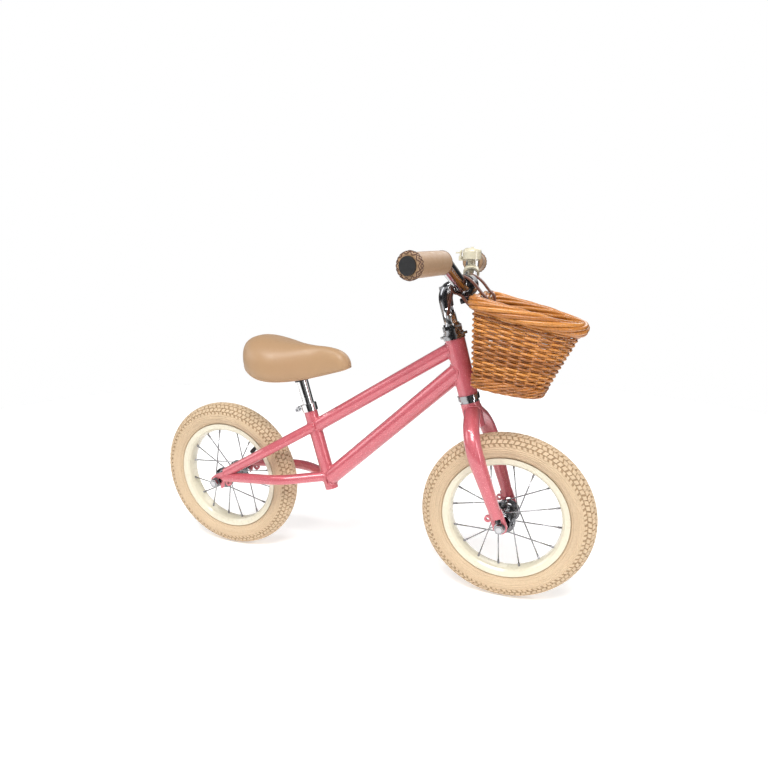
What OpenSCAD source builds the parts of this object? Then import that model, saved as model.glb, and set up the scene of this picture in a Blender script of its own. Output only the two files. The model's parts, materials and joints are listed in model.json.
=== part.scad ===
// Child's balance bike: steel frame and fork, two 12 inch spoked wheels, quill stem, wicker basket.
// X points forward, Y to the rider's left, Z up. The origin is on the ground midway between the
// wheels. All sizes are in millimetres.

/* [Wheels] */
// Distance between the two axles
wheelbase = 564; // [556:1:572]
// Overall radius of a tyre
tyre_r = 150; // [148:1:152]
// Radius of the tyre's round section
tyre_section_r = 23; // [22.5:0.5:24]
// Overall radius of the rim, at its lips
rim_r = 109; // [108.5:0.5:109.5]
// Spokes in each wheel
spoke_count = 16; // [8:4:24]
// Angle of the first spoke of the front wheel
front_spoke_phase = 18.2; // [0:0.1:22]
// Angle of the first spoke of the rear wheel
rear_spoke_phase = 12; // [0:0.1:22]
// Distance between the inner faces of the fork ends and of the rear ends
end_gap = 95.5; // [95:0.5:98]

/* [Frame] */
// Lean of the steering axis from the vertical
head_tilt = 16; // [15:0.5:17]
// Distance of the front axle in front of the steering axis
fork_rake = 15; // [14:0.5:16]
// Lean of the seat tube from the vertical
seat_tilt = 15.5; // [15:0.5:16]
// Place of the seat tube's axis at axle height
seat_x = -51; // [-53:1:-49]
// Outer diameter of the head tube
head_tube_d = 33; // [32:0.5:34]
// Length of the head tube
head_tube_len = 95; // [92:1:98]
// Outer diameter of the top tube
top_tube_d = 25; // [24:0.1:25.3]
// Outer diameter of the down tube
down_tube_d = 31.8; // [30:0.1:32]
// Outer diameter of the seat tube
seat_tube_d = 25.4; // [25:0.1:26]
// Outer diameter of the four stays
stay_d = 19; // [17:0.5:19.5]
// Wall of the frame's tubes
tube_wall = 1.6; // [1.2:0.1:1.6]

/* [Cockpit] */
// Outer diameter of the handlebar
bar_d = 22.2; // [22:0.1:22.4]
// Overall width of the handlebar
bar_w = 396; // [380:5:420]
// Height of the grips above the middle of the handlebar
bar_rise = 36; // [30:1:40]
// Outer diameter of a grip
grip_d = 34.5; // [32:0.5:36]
// Length of a grip
grip_len = 104; // [98:1:106]
// Diameter of the bell's dome
bell_d = 31; // [30:1:34]

/* [Saddle] */
// Overall width of the saddle
saddle_w = 136; // [126:2:146]
// Outer diameter of the seat post
post_d = 22; // [21.9:0.05:22]

/* [Basket] */
// Depth of the basket's base from back to front
basket_base_depth = 105; // [98:1:108]
// Depth of the basket at its rim, between the middles of the rope
basket_rim_depth = 163; // [155:1:166]
// Half the width of the basket's base
basket_base_half = 58; // [52:1:60]
// Half the width of the basket at its rim, to the middle of the rope
basket_rim_half = 69; // [66:1:74]
// Height of the basket at its back, to the middle of the rope
basket_h = 130; // [124:1:134]
// Diameter of the rope rim
rope_d = 18; // [16:0.5:19]

/* [Hidden] */
$fn = 48;
fine = 96;
eps = 0.01;
bend_step = 0.06;
bend_lap = 0.5;
bar_wall = 2;
side_gap = 0.2;
fit_gap = 0.075;
axle_z = tyre_r;
front_axle_x = wheelbase / 2;
rear_axle_x = -wheelbase / 2;

// Stations along the steering axis, measured up from axle height
steer_x = front_axle_x - fork_rake / cos(head_tilt);
head_low = 217.5;
head_top = head_low + head_tube_len;
cup_low = head_low - 9;
crown_top = cup_low - 4.5;
crown_len = 43;
cup_top = head_top + 8;
steerer_d = 25.4;
steerer_bore = 22.15;
stem_d = 22;
stem_low = 262;
clamp_x = 38;
clamp_s = 390.5;
clamp_w = 27;
clamp_d = 36;

// Stations along the seat tube, measured up from axle height
seat_low = 3;
seat_top = 171;
post_low = 62;
post_top = 230;
seat_bore = 22.15;

// Where the tubes' axes meet the seat tube and the steering axis
top_tube_seat_s = 126.5;
top_tube_head_s = 300;
down_tube_seat_s = 23;
down_tube_head_s = 262;

// Fork blades, in a plane that leans from the crown to the axle
crown_point = [steer_x - head_low * sin(head_tilt), 0, axle_z + head_low * cos(head_tilt)];
blade_run = [front_axle_x - crown_point.x, crown_point.z - axle_z];
blade_tilt = atan2(blade_run.x, blade_run.y);
blade_len = norm(blade_run);
blade_y = 66;
blade_end_y = 52;
blade_top_d = 27;
blade_low_d = 19;

// Wheel insides
tyre_mid_r = tyre_r - tyre_section_r;
hub_half = 34;
hub_flange_y = 24;
hub_flange_r = 21;
spoke_hole_r = 18;
spoke_rim_r = 96;
spoke_d = 2;
spoke_lean = 62;
spoke_out = 4.8;
spoke_in = 2.8;
spoke_head = 2.2;
axle_d = 9.5;
end_plate = 4.5;
end_y = end_gap / 2 + end_plate / 2;

// Handlebar corners, from the middle outwards
bar_mid = [steer_x - clamp_s * sin(head_tilt) + clamp_x * cos(head_tilt), 0,
           axle_z + clamp_s * cos(head_tilt) + clamp_x * sin(head_tilt)];
bar_low_corner = bar_mid + [0, 29, 0];
bar_high_corner = bar_mid + [-12, 88, bar_rise];
bar_end = bar_mid + [-30, bar_w / 2, bar_rise - 3];
bar_bend_r = 24;
bar_bend_more = 0.2;
bell_at = bar_low_corner + 0.5 * (bar_high_corner - bar_low_corner);

// Basket
basket_back = [223, 0, 383];
basket_tilt = 10;
rim_tilt = 4.5;
rim_back_x = -24;
basket_wall = 6;
strap_y = 30;
strap_w = 9;
strap_t = 2.4;

// Saddle's side outline, clockwise from the nose tip, and its plan outline
saddle_side = [[-9, 391], [-11, 402], [-18, 413], [-30, 420.5], [-53, 425], [-85, 426], [-118, 429],
               [-150, 435.5], [-172, 440], [-190, 441], [-206, 436], [-217, 425], [-221, 411],
               [-218, 399], [-206, 388], [-188, 379], [-168, 373], [-140, 367.5], [-112, 365],
               [-86, 368.5], [-60, 375.5], [-34, 383]];
saddle_rear_x = -156;

// ---- Directions and bent tubes ----

function unit(v) = v / norm(v);

// Point on the steering axis or on the seat tube's axis at a station
function on_steer(s) = [steer_x - s * sin(head_tilt), 0, axle_z + s * cos(head_tilt)];
function on_seat(s) = [seat_x - s * sin(seat_tilt), 0, axle_z + s * cos(seat_tilt)];

module steer_frame() {
    translate([steer_x, 0, axle_z]) rotate([0, -head_tilt, 0]) children();
}

module seat_frame() {
    translate([seat_x, 0, axle_z]) rotate([0, -seat_tilt, 0]) children();
}

module blade_frame() {
    translate(crown_point) rotate([0, -blade_tilt, 0]) children();
}

// Turns +Z into the direction v
module aim(v) {
    rotate([0, acos(v.z / norm(v)), atan2(v.y, v.x)]) children();
}

// Straight or tapered rod from a to b
module rod(a, b, d1, d2) {
    translate(a) aim(b - a) cylinder(h = norm(b - a), d1 = d1, d2 = is_undef(d2) ? d1 : d2);
}

// Length cut off each leg by a bend of radius r at corner p
function bend_cut(a, p, b, r) = r * tan(acos(unit(p - a) * unit(b - p)) / 2);

// Round bend at corner p of the path a, p, b; a hair wider than the legs, which end inside it
module bend(a, p, b, r, d) {
    u = unit(p - a);
    v = unit(b - p);
    turn = acos(u * v);
    start = p - u * bend_cut(a, p, b, r);
    n = unit(v - (u * v) * u);
    w = cross(-n, u);
    centre = start + n * r;
    multmatrix([[-n.x, u.x, w.x, centre.x], [-n.y, u.y, w.y, centre.y], [-n.z, u.z, w.z, centre.z],
                [0, 0, 0, 1]])
        rotate_extrude(angle = turn, $fn = fine) translate([r, 0]) circle(d = d + bend_step);
}

// Rod along a, p, b with one round bend; both ends may run on by some length
module bent_rod(a, p, b, r, d, d2, on = 0) {
    cut = bend_cut(a, p, b, r) - bend_lap;
    rod(a - on * unit(p - a), p - unit(p - a) * cut, d);
    bend(a, p, b, r, d);
    rod(p + unit(b - p) * cut, b + on * unit(b - p), d, d2);
}

module ring(d_out, d_in, z0, z1) {
    translate([0, 0, z0]) difference() {
        cylinder(h = z1 - z0, d = d_out, $fn = fine);
        translate([0, 0, -eps]) cylinder(h = z1 - z0 + 2 * eps, d = d_in, $fn = fine);
    }
}

module both_sides() {
    children();
    mirror([0, 1, 0]) children();
}

// Keeps only the left side, a hair clear of the middle
module left_half() {
    difference() {
        children();
        translate([-400, -400 + side_gap, 0]) cube([800, 400, 800]);
    }
}

// ---- Frame ----

module head_solid() {
    steer_frame() translate([0, 0, head_low]) cylinder(h = head_tube_len, d = head_tube_d, $fn = fine);
}

module seat_solid() {
    seat_frame() translate([0, 0, seat_low]) cylinder(h = seat_top - seat_low, d = seat_tube_d, $fn = fine);
}

module head_tube() {
    color("palevioletred") steer_frame() ring(head_tube_d, head_tube_d - 4, head_low, head_top);
}

module seat_tube() {
    color("palevioletred") seat_frame() difference() {
        translate([0, 0, seat_low]) cylinder(h = seat_top - seat_low, d = seat_tube_d, $fn = fine);
        translate([0, 0, seat_low + 3]) cylinder(h = seat_top, d = seat_bore, $fn = fine);
        translate([-seat_tube_d, -1.5, seat_top - 26]) cube([seat_tube_d, 3, 30]);
    }
}

module top_tube() {
    a = on_seat(top_tube_seat_s);
    b = on_steer(top_tube_head_s);
    color("palevioletred") difference() {
        rod(a, b, top_tube_d);
        rod(a, b, top_tube_d - 2 * tube_wall);
        head_solid();
        seat_solid();
    }
}

module down_solid(d) {
    a = on_seat(down_tube_seat_s);
    b = on_steer(down_tube_head_s);
    rod(a + 5 * unit(b - a), b, d);
}

module down_tube() {
    color("palevioletred") difference() {
        down_solid(down_tube_d);
        down_solid(down_tube_d - 2 * tube_wall);
        head_solid();
        seat_solid();
    }
}

// Left seat stay and chain stay as plain solids; the right ones are mirrored
module seat_stay_solid(d, on = 0) {
    bent_rod([-84, 6, 273.9], [-170, 48.5, 224], [-258, 50.5, 173], 90, d, d, on);
}

module chain_stay_solid(d, on = 0) {
    bent_rod([-60, 4, 177], [-138, 49, 172.5], [-262, 51, 163.5], 110, d, d, on);
}

module seat_stay() {
    left_half() difference() {
        seat_stay_solid(stay_d);
        seat_stay_solid(stay_d - 2 * tube_wall, 2);
        seat_solid();
        rod(on_seat(top_tube_seat_s), on_steer(top_tube_head_s), top_tube_d);
        rear_end_plate();
    }
}

module chain_stay() {
    left_half() difference() {
        chain_stay_solid(stay_d);
        chain_stay_solid(stay_d - 2 * tube_wall, 2);
        seat_stay_solid(stay_d);
        seat_solid();
        down_solid(down_tube_d);
        rear_end_plate();
        rear_eyelet(4);
    }
}

module seat_stay_left() { color("palevioletred") seat_stay(); }
module seat_stay_right() { color("palevioletred") mirror([0, 1, 0]) seat_stay(); }
module chain_stay_left() { color("palevioletred") chain_stay(); }
module chain_stay_right() { color("palevioletred") mirror([0, 1, 0]) chain_stay(); }

// Plate that stands in the XZ plane at the end of the stays or of a blade
module end_plate_at(x, z, tilt) {
    translate([x, end_y + end_plate / 2, z]) rotate([0, -tilt, 0]) rotate([90, 0, 0])
        linear_extrude(end_plate) children();
}

module rear_end_plate() {
    end_plate_at(rear_axle_x, axle_z, 0) difference() {
        union() {
            circle(r = 12.5);
            polygon([[-12.5, -2], [-12, 7], [0, 16.5], [14, 22], [30, 31], [39, 18], [37, 8], [20, 3]]);
            translate([28, 2]) circle(r = 6.5);
            polygon([[9.5, 8], [9.5, -10], [12, -12], [15, -10], [20, 4]]);
        }
        circle(r = 5.2);
        translate([8, 3.5]) circle(r = 5.2);
        polygon([[-5.2, 0], [-5.2, -20], [9.5, -20], [9.5, 0], [5.9, 8.2], [-2, 4.8]]);
        translate([28, 2]) circle(r = 2.6);
    }
}

// Clearance round the mudguard eyelet
module rear_eyelet(r) {
    translate([rear_axle_x + 28, end_y, axle_z + 2]) rotate([90, 0, 0]) cylinder(h = 8, r = r, center = true);
}

module rear_dropouts() {
    color("palevioletred") both_sides() rear_end_plate();
}

// ---- Headset ----

module headset_cups() {
    color("silver") steer_frame() {
        difference() {
            union() {
                ring(head_tube_d - 4, steerer_d + 1, head_low - eps, head_low + 8);
                ring(37, steerer_d + 1, cup_low, head_low);
            }
            translate([0, 0, cup_low - eps]) cylinder(h = 5.6, d = 32, $fn = fine);
        }
        difference() {
            union() {
                ring(head_tube_d - 4, steerer_d + 1, head_top - 8, head_top + eps);
                ring(36, steerer_d + 1, head_top, head_top + 4.5);
                ring(45, steerer_d + 1, head_top + 4.5, cup_top);
            }
            translate([0, 0, cup_top - 5]) cylinder(h = 6, d = 32, $fn = fine);
        }
    }
}

module headset_bearings() {
    color("dimgray") steer_frame() {
        ring(32, steerer_d + 0.12, cup_low + 0.1, cup_low + 5.5);
        ring(32, steerer_d + 0.12, cup_top - 4.9, cup_top - 0.1);
    }
}

module crown_race() {
    color("silver") steer_frame() ring(31, steerer_d, crown_top, cup_low - 0.25);
}

module headset_race() {
    color("silver") steer_frame() difference() {
        union() {
            ring(34, steerer_d, cup_top + 0.25, cup_top + 3);
            ring(31, steerer_d, cup_top + 3, cup_top + 6.5);
        }
        for (a = [0 : 30 : 330])
            rotate([0, 0, a]) translate([15.5, -0.8, cup_top + 3.01]) cube([2, 1.6, 4]);
    }
}

module headset_washer() {
    color("silver") steer_frame() ring(32, steerer_d, cup_top + 6.5, cup_top + 8.5);
}

module headset_nut() {
    color("silver") steer_frame() difference() {
        union() {
            translate([0, 0, cup_top + 8.5]) cylinder(h = 6, d = 33, $fn = 6);
            translate([0, 0, cup_top + 14.5]) cylinder(h = 3.5, d1 = 28, d2 = 26, $fn = fine);
        }
        translate([0, 0, cup_top + 8]) cylinder(h = 8, d = steerer_d, $fn = fine);
        translate([0, 0, cup_top + 8]) cylinder(h = 14, d = stem_d + 0.7, $fn = fine);
    }
}

// ---- Fork ----

module fork_steerer() {
    color("palevioletred") steer_frame() difference() {
        translate([0, 0, crown_top]) cylinder(h = cup_top + 16 - crown_top, d = steerer_d, $fn = fine);
        translate([0, 0, crown_top - eps]) cylinder(h = 200, d = steerer_bore, $fn = fine);
    }
}

module crown_solid() {
    steer_frame() translate([0, 0, crown_top - crown_len])
        cylinder(h = crown_len, d = head_tube_d, $fn = fine);
}

module fork_crown() {
    color("palevioletred") difference() {
        crown_solid();
        steer_frame() {
            translate([0, 0, crown_top - crown_len + 4])
                cylinder(h = crown_len, d = head_tube_d - 8, $fn = fine);
            translate([0, 0, crown_top - 20]) rotate([0, 90, 0]) cylinder(h = 30, d = 6.2);
        }
    }
}

module blade_solid(thinner, on = 0) {
    blade_frame() bent_rod([0, 2, -25.5], [0, blade_y, -66], [0, blade_end_y, -204], 60,
                           blade_top_d - thinner, blade_low_d - thinner, on);
}

module blade() {
    difference() {
        blade_solid(0);
        blade_solid(2 * tube_wall, 2);
        crown_solid();
        fork_end_plate();
    }
}

module fork_blade_left() { color("palevioletred") blade(); }
module fork_blade_right() { color("palevioletred") mirror([0, 1, 0]) blade(); }

module fork_end_plate() {
    end_plate_at(front_axle_x, axle_z, blade_tilt) difference() {
        union() {
            circle(r = 12);
            polygon([[-11.8, 0], [-11.4, 20], [-11.2, 30], [11.2, 30], [11.4, 20], [11.8, 0]]);
            translate([-15.5, 19]) circle(r = 6);
        }
        circle(r = 5.2);
        translate([0, 11]) circle(r = 5.2);
        translate([-5.1, 0]) square([10.2, 11]);
        rotate(225) translate([0, -5.1]) square([20, 10.2]);
        translate([-15.5, 19]) circle(r = 2.6);
    }
}

module fork_dropouts() {
    color("palevioletred") both_sides() fork_end_plate();
}

// ---- Axles, the same for both wheels ----

module at_axle(x) {
    translate([x, 0, axle_z]) rotate([90, 0, 0]) children();
}

module axle() {
    cylinder(h = 2 * (end_y + 13), d = axle_d, center = true);
}

module cones() {
    for (side = [0, 1]) mirror([0, 0, side]) difference() {
        union() {
            translate([0, 0, hub_half + 0.4]) cylinder(h = 4, d = 15);
            translate([0, 0, hub_half + 4.4])
                cylinder(h = end_y - end_plate / 2 - hub_half - 4.4, d = 18, $fn = 6);
        }
        cylinder(h = 200, d = axle_d, center = true);
    }
}

module axle_nuts() {
    for (side = [0, 1]) mirror([0, 0, side]) difference() {
        union() {
            translate([0, 0, end_y + end_plate / 2]) cylinder(h = 2.5, d = 19);
            translate([0, 0, end_y + end_plate / 2 + 2.5]) cylinder(h = 7.5, d = 17, $fn = 6);
        }
        cylinder(h = 200, d = axle_d, center = true);
    }
}

module rear_axle() { color("silver") at_axle(rear_axle_x) axle(); }
module rear_cones() { color("dimgray") at_axle(rear_axle_x) cones(); }
module rear_axle_nuts() { color("silver") at_axle(rear_axle_x) axle_nuts(); }
module front_axle() { color("silver") at_axle(front_axle_x) axle(); }
module front_cones() { color("dimgray") at_axle(front_axle_x) cones(); }
module front_axle_nuts() { color("silver") at_axle(front_axle_x) axle_nuts(); }

// ---- Wheels, drawn about +Z with +Z towards the right-hand side ----

// Ring section: x is the distance from the axle and y the distance from the wheel's middle
module tyre() {
    rotate_extrude($fn = fine) difference() {
        union() {
            intersection() {
                translate([tyre_mid_r, 0]) circle(r = tyre_section_r);
                translate([rim_r, -30]) square([60, 60]);
            }
            translate([rim_r - 5, 11.2]) square([5 + eps, 3]);
            translate([rim_r - 5, -14.2]) square([5 + eps, 3]);
        }
        translate([tyre_mid_r, 0]) circle(r = tyre_section_r - 3.5);
    }
}

// Inner tube with its valve, which leaves through the rim towards the axle
module inner_tube(valve_angle) {
    tube_r = tyre_section_r - 3.6;
    rotate_extrude($fn = fine) translate([tyre_mid_r, 0]) difference() {
        circle(r = tube_r);
        circle(r = tube_r - 2);
    }
    rotate([0, 0, valve_angle]) rotate([0, 90, 0])
        translate([0, 0, 74]) cylinder(h = tyre_mid_r - tube_r - 73, d = 8);
}

module rim_section() {
    polygon([[rim_r, 16], [rim_r, 14.3], [rim_r - 5.1, 14.3], [rim_r - 5.1, 10], [rim_r - 10, 8],
             [rim_r - 11, 0], [rim_r - 10, -8], [rim_r - 5.1, -10], [rim_r - 5.1, -14.3],
             [rim_r, -14.3], [rim_r, -16], [rim_r - 9, -14.8], [rim_r - 12.5, -11.5],
             [rim_r - 14, -6], [rim_r - 14.5, 0], [rim_r - 14, 6], [rim_r - 12.5, 11.5],
             [rim_r - 9, 14.8]]);
}

// Hub end and rim end of spoke k: pairs lean forward and back, flanges alternate
function spoke_side(k) = k % 2 == 0 ? 1 : -1;
function spoke_turn(k) = floor(k / 2) % 2 == 0 ? spoke_lean : -spoke_lean;
function spoke_rim_angle(k, phase) = phase + k * 360 / spoke_count;
function spoke_hub(k, phase) =
    let (a = spoke_rim_angle(k, phase) + spoke_turn(k))
    [spoke_hole_r * cos(a), spoke_hole_r * sin(a),
     spoke_side(k) * (hub_flange_y + (spoke_turn(k) > 0 ? spoke_out : -spoke_in))];
function spoke_end(k, phase) =
    let (a = spoke_rim_angle(k, phase))
    [spoke_rim_r * cos(a), spoke_rim_r * sin(a), spoke_side(k) * 2];
// Point on spoke k at a distance from its rim end
function spoke_at(k, phase, back) =
    spoke_end(k, phase) + back * unit(spoke_hub(k, phase) - spoke_end(k, phase));

module rim(phase, valve_angle) {
    difference() {
        rotate_extrude($fn = fine) rim_section();
        for (k = [0 : spoke_count - 1]) rod(spoke_at(k, phase, 8), spoke_at(k, phase, -10), 4);
        rotate([0, 0, valve_angle]) rotate([0, 90, 0]) cylinder(h = rim_r, d = 8.4);
    }
}

// Spokes, each with its nipple, which stands through the rim
module spokes(phase) {
    for (k = [0 : spoke_count - 1]) {
        rod(spoke_hub(k, phase), spoke_at(k, phase, 8), spoke_d);
        rod(spoke_at(k, phase, 10), spoke_at(k, phase, -3), 4);
        elbow = spoke_hub(k, phase);
        head = spoke_turn(k) > 0 ? -spoke_head : spoke_head;
        rod([elbow.x, elbow.y, spoke_side(k) * (hub_flange_y + head)], elbow, spoke_d + 0.3);
    }
}

module hub(phase) {
    difference() {
        union() {
            cylinder(h = 2 * hub_flange_y, d = 22, center = true);
            for (side = [0, 1]) mirror([0, 0, side]) {
                translate([0, 0, hub_flange_y - 1.5]) cylinder(h = 3, r = hub_flange_r);
                translate([0, 0, hub_flange_y - 6]) cylinder(h = 4.6, d1 = 22, d2 = 30);
                translate([0, 0, hub_flange_y + 1]) cylinder(h = hub_half - hub_flange_y - 1, d = 30);
            }
        }
        cylinder(h = 200, d = 16, center = true);
        for (side = [0, 1]) mirror([0, 0, side])
            translate([0, 0, hub_half - 8]) cylinder(h = 10, d = 26);
        for (k = [0 : spoke_count - 1]) {
            elbow = spoke_hub(k, phase);
            translate([elbow.x, elbow.y, spoke_side(k) * hub_flange_y])
                cylinder(h = 8, d = spoke_d + 0.5, center = true);
        }
    }
}

module hub_bearings() {
    for (side = [0, 1]) mirror([0, 0, side]) difference() {
        translate([0, 0, hub_half - 8]) cylinder(h = 8, d = 26);
        cylinder(h = 200, d = axle_d + 0.1, center = true);
        translate([0, 0, hub_half - 1]) difference() {
            cylinder(h = 2, d = 21);
            cylinder(h = 2, d = 15);
        }
    }
}

front_valve_angle = front_spoke_phase + 4.5 * 360 / spoke_count;
rear_valve_angle = rear_spoke_phase + 1.5 * 360 / spoke_count;

module front_tyre() { color("burlywood") at_axle(front_axle_x) tyre(); }
module front_tube() { color("dimgray") at_axle(front_axle_x) inner_tube(front_valve_angle); }
module front_rim() { color("beige") at_axle(front_axle_x) rim(front_spoke_phase, front_valve_angle); }
module front_spokes() { color("silver") at_axle(front_axle_x) spokes(front_spoke_phase); }
module front_hub() { color("dimgray") at_axle(front_axle_x) hub(front_spoke_phase); }
module front_bearings() { color("gray") at_axle(front_axle_x) hub_bearings(); }
module rear_tyre() { color("burlywood") at_axle(rear_axle_x) tyre(); }
module rear_tube() { color("dimgray") at_axle(rear_axle_x) inner_tube(rear_valve_angle); }
module rear_rim() { color("beige") at_axle(rear_axle_x) rim(rear_spoke_phase, rear_valve_angle); }
module rear_spokes() { color("silver") at_axle(rear_axle_x) spokes(rear_spoke_phase); }
module rear_hub() { color("dimgray") at_axle(rear_axle_x) hub(rear_spoke_phase); }
module rear_bearings() { color("gray") at_axle(rear_axle_x) hub_bearings(); }

// ---- Seat post, clamp and saddle ----

module seat_clamp() {
    color("silver") seat_frame() translate([0, 0, seat_top - 13]) difference() {
        union() {
            cylinder(h = 14, d = seat_tube_d + 4.6, $fn = fine);
            translate([-27, -6, 2]) cube([16, 12, 10]);
        }
        translate([0, 0, -eps]) cylinder(h = 13, d = seat_tube_d, $fn = fine);
        cylinder(h = 20, d = post_d + 0.8, $fn = fine);
        translate([-30, -1.5, -1]) cube([20, 3, 20]);
        translate([-21.5, 0, 7]) rotate([90, 0, 0]) cylinder(h = 40, d = 5, center = true);
    }
}

module seat_clamp_bolt() {
    color("dimgray") seat_frame() translate([-21.5, 0, seat_top - 6]) rotate([90, 0, 0]) {
        translate([0, 0, -10]) cylinder(h = 16, d = 5);
        difference() {
            translate([0, 0, 6]) cylinder(h = 5, d = 8.5);
            translate([0, 0, 8.5]) cylinder(h = 4, d = 4.6, $fn = 6);
        }
        difference() {
            translate([0, 0, -10]) cylinder(h = 4, d = 9.2, $fn = 6);
            translate([0, 0, -11]) cylinder(h = 6, d = 5);
        }
    }
}

// Height marks: a row of shallow grooves low on the rear right-hand side
module seat_post() {
    color("silver") seat_frame() difference() {
        translate([0, 0, post_low]) cylinder(h = post_top - post_low, d = post_d, $fn = fine);
        translate([0, 0, post_low - 1]) cylinder(h = post_top - post_low - 3, d = post_d - 4, $fn = fine);
        rotate([0, 0, 250]) for (s = [post_low + 60 : 3.2 : post_top - 14])
            translate([post_d / 2 - 0.5, -2.6, s]) cube([2, 5.2, 1.5]);
    }
}

module saddle_bracket() {
    color("dimgray") difference() {
        union() {
            translate([-138, -17, 369]) cube([52, 34, 3]);
            seat_frame() translate([0, 0, post_top - 14]) cylinder(h = 9, d = post_d + 5);
        }
        seat_frame() cylinder(h = 300, d = post_d, $fn = fine);
        translate([-200, -40, 372]) cube([200, 80, 40]);
    }
}

// Plan outline: a round seat that narrows smoothly into a slim nose
function saddle_half(x) =
    let (half = saddle_w / 2, nose = 17,
         blend = min(1, max(0, (x - saddle_rear_x) / 96)),
         ease = (1 - cos(180 * blend)) / 2)
    x < saddle_rear_x ? half * sqrt(max(0, 1 - pow((x - saddle_rear_x) / (saddle_rear_x + 221), 2)))
    : x > -28 ? (half + (nose - half) * ease) * sqrt(max(0, 1 - pow((x + 28) / 19, 2)))
    : half + (nose - half) * ease;

module saddle_plan() {
    xs = [for (i = [0 : 48]) -115 - 106 * cos(i * 180 / 48)];
    polygon(concat([for (x = xs) [x, saddle_half(x)]],
                   [for (i = [47 : -1 : 1]) [xs[i], -saddle_half(xs[i])]]));
}

// Saddle shape shrunk by a margin all round
module saddle_shape(margin, drop) {
    intersection() {
        translate([0, 0, 300]) linear_extrude(200) offset(delta = -margin) saddle_plan();
        translate([0, 200, 0]) rotate([90, 0, 0]) linear_extrude(400) hull_down(margin, drop);
    }
}

// Side outline shrunk by a margin and stretched downwards by a drop
module hull_down(margin, drop) {
    union() {
        offset(delta = -margin) polygon(saddle_side);
        translate([0, -drop]) offset(delta = -margin) polygon(saddle_side);
    }
}

module saddle_cover() {
    color("tan") difference() {
        saddle_shape(0, 0);
        saddle_shape(3, 9);
    }
}

module saddle_pad() {
    color("khaki") difference() {
        saddle_shape(3.1, 0);
        saddle_floor(12);
    }
}

// Everything below the saddle's lower outline raised by a height
module saddle_floor(height) {
    translate([0, 200, 0]) rotate([90, 0, 0]) linear_extrude(400) difference() {
        translate([-240, 340]) square([250, 120]);
        translate([0, height]) union() {
            polygon(saddle_side);
            translate([0, 40]) polygon(saddle_side);
            translate([0, 80]) polygon(saddle_side);
        }
    }
}

module saddle_base() {
    color("dimgray") difference() {
        saddle_shape(3.1, 0);
        saddle_floor(7);
        difference() {
            translate([-300, -100, 300]) cube([400, 200, 200]);
            saddle_floor(11.9);
        }
        translate([-139, -18, 360]) cube([54, 36, 12.05]);
        seat_frame() cylinder(h = 300, d = post_d + 0.2, $fn = fine);
    }
}

// ---- Stem and handlebar ----

module stem() {
    color("silver") steer_frame() difference() {
        union() {
            translate([0, 0, stem_low]) cylinder(h = clamp_s - stem_low, d = stem_d, $fn = fine);
            translate([0, 0, clamp_s]) sphere(d = stem_d, $fn = fine);
            translate([0, 0, clamp_s]) rotate([0, 90, 0]) cylinder(h = clamp_x, d = stem_d - 1, $fn = fine);
            translate([clamp_x, 0, clamp_s]) rotate([90, 0, 0])
                cylinder(h = clamp_w, d = clamp_d, center = true, $fn = fine);
            translate([clamp_x - 9, -8, clamp_s - 27]) cube([18, 16, 14]);
        }
        translate([clamp_x, 0, clamp_s]) rotate([90, 0, 0])
            cylinder(h = 60, d = bar_d, center = true, $fn = fine);
        translate([clamp_x - 1, -30, clamp_s - 40]) cube([2, 60, 34]);
        translate([clamp_x - 20, 0, clamp_s - 22]) rotate([0, 90, 0]) cylinder(h = 40, d = 5);
        translate([0, 0, stem_low - 1]) cylinder(h = clamp_s - stem_low - 9, d = stem_d - 4, $fn = fine);
        translate([0, 0, stem_low]) cylinder(h = 200, d = 6.6);
        translate([0, 0, clamp_s + 3]) cylinder(h = 20, d = 12.5);
        translate([0, 0, stem_low]) rotate([0, 35, 0]) translate([-40, -40, -60]) cube([80, 80, 60]);
    }
}

module stem_wedge() {
    color("dimgray") steer_frame() difference() {
        translate([0, 0, stem_low - 22]) cylinder(h = 38, d = stem_d, $fn = fine);
        translate([0, 0, stem_low]) rotate([0, 35, 0]) translate([-40, -40, 0.05]) cube([80, 80, 60]);
        translate([0, 0, stem_low - 30]) cylinder(h = 60, d = 6.6);
    }
}

module stem_bolt() {
    color("dimgray") steer_frame() {
        translate([0, 0, stem_low - 18]) cylinder(h = clamp_s + 4 - stem_low + 18, d = 6.5);
        difference() {
            translate([0, 0, clamp_s + 3]) cylinder(h = 6, d = 12);
            translate([0, 0, clamp_s + 6]) cylinder(h = 6, d = 7, $fn = 6);
        }
    }
}

module stem_clamp_bolt() {
    color("dimgray") steer_frame() translate([clamp_x, 0, clamp_s - 22]) rotate([0, 90, 0]) {
        translate([0, 0, -12]) cylinder(h = 21, d = 5);
        translate([0, 0, -14]) difference() {
            cylinder(h = 5, d = 9);
            translate([0, 0, -1]) cylinder(h = 3.5, d = 4.6, $fn = 6);
        }
        translate([0, 0, 9]) cylinder(h = 2, d = 8.6, $fn = 6);
    }
}

// Left half of the bar beyond its straight middle; its open end may run on by some length
module half_bar(d, on) {
    cut = bend_cut(bar_mid, bar_low_corner, bar_high_corner, bar_bend_r) - bend_lap;
    cut2 = bend_cut(bar_low_corner, bar_high_corner, bar_end, bar_bend_r) - bend_lap;
    dir = unit(bar_high_corner - bar_low_corner);
    last = unit(bar_end - bar_high_corner);
    bend(bar_mid, bar_low_corner, bar_high_corner, bar_bend_r, d + bar_bend_more);
    rod(bar_low_corner + dir * cut, bar_high_corner - dir * cut2, d);
    bend(bar_low_corner, bar_high_corner, bar_end, bar_bend_r, d + bar_bend_more);
    rod(bar_high_corner + last * cut2, bar_end + last * on, d);
}

module bar_solid(d, on) {
    half = bar_low_corner.y - bend_cut(bar_mid, bar_low_corner, bar_high_corner, bar_bend_r) + bend_lap;
    translate(bar_mid) rotate([90, 0, 0]) cylinder(h = 2 * half, d = d, center = true);
    both_sides() half_bar(d, on);
}

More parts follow.
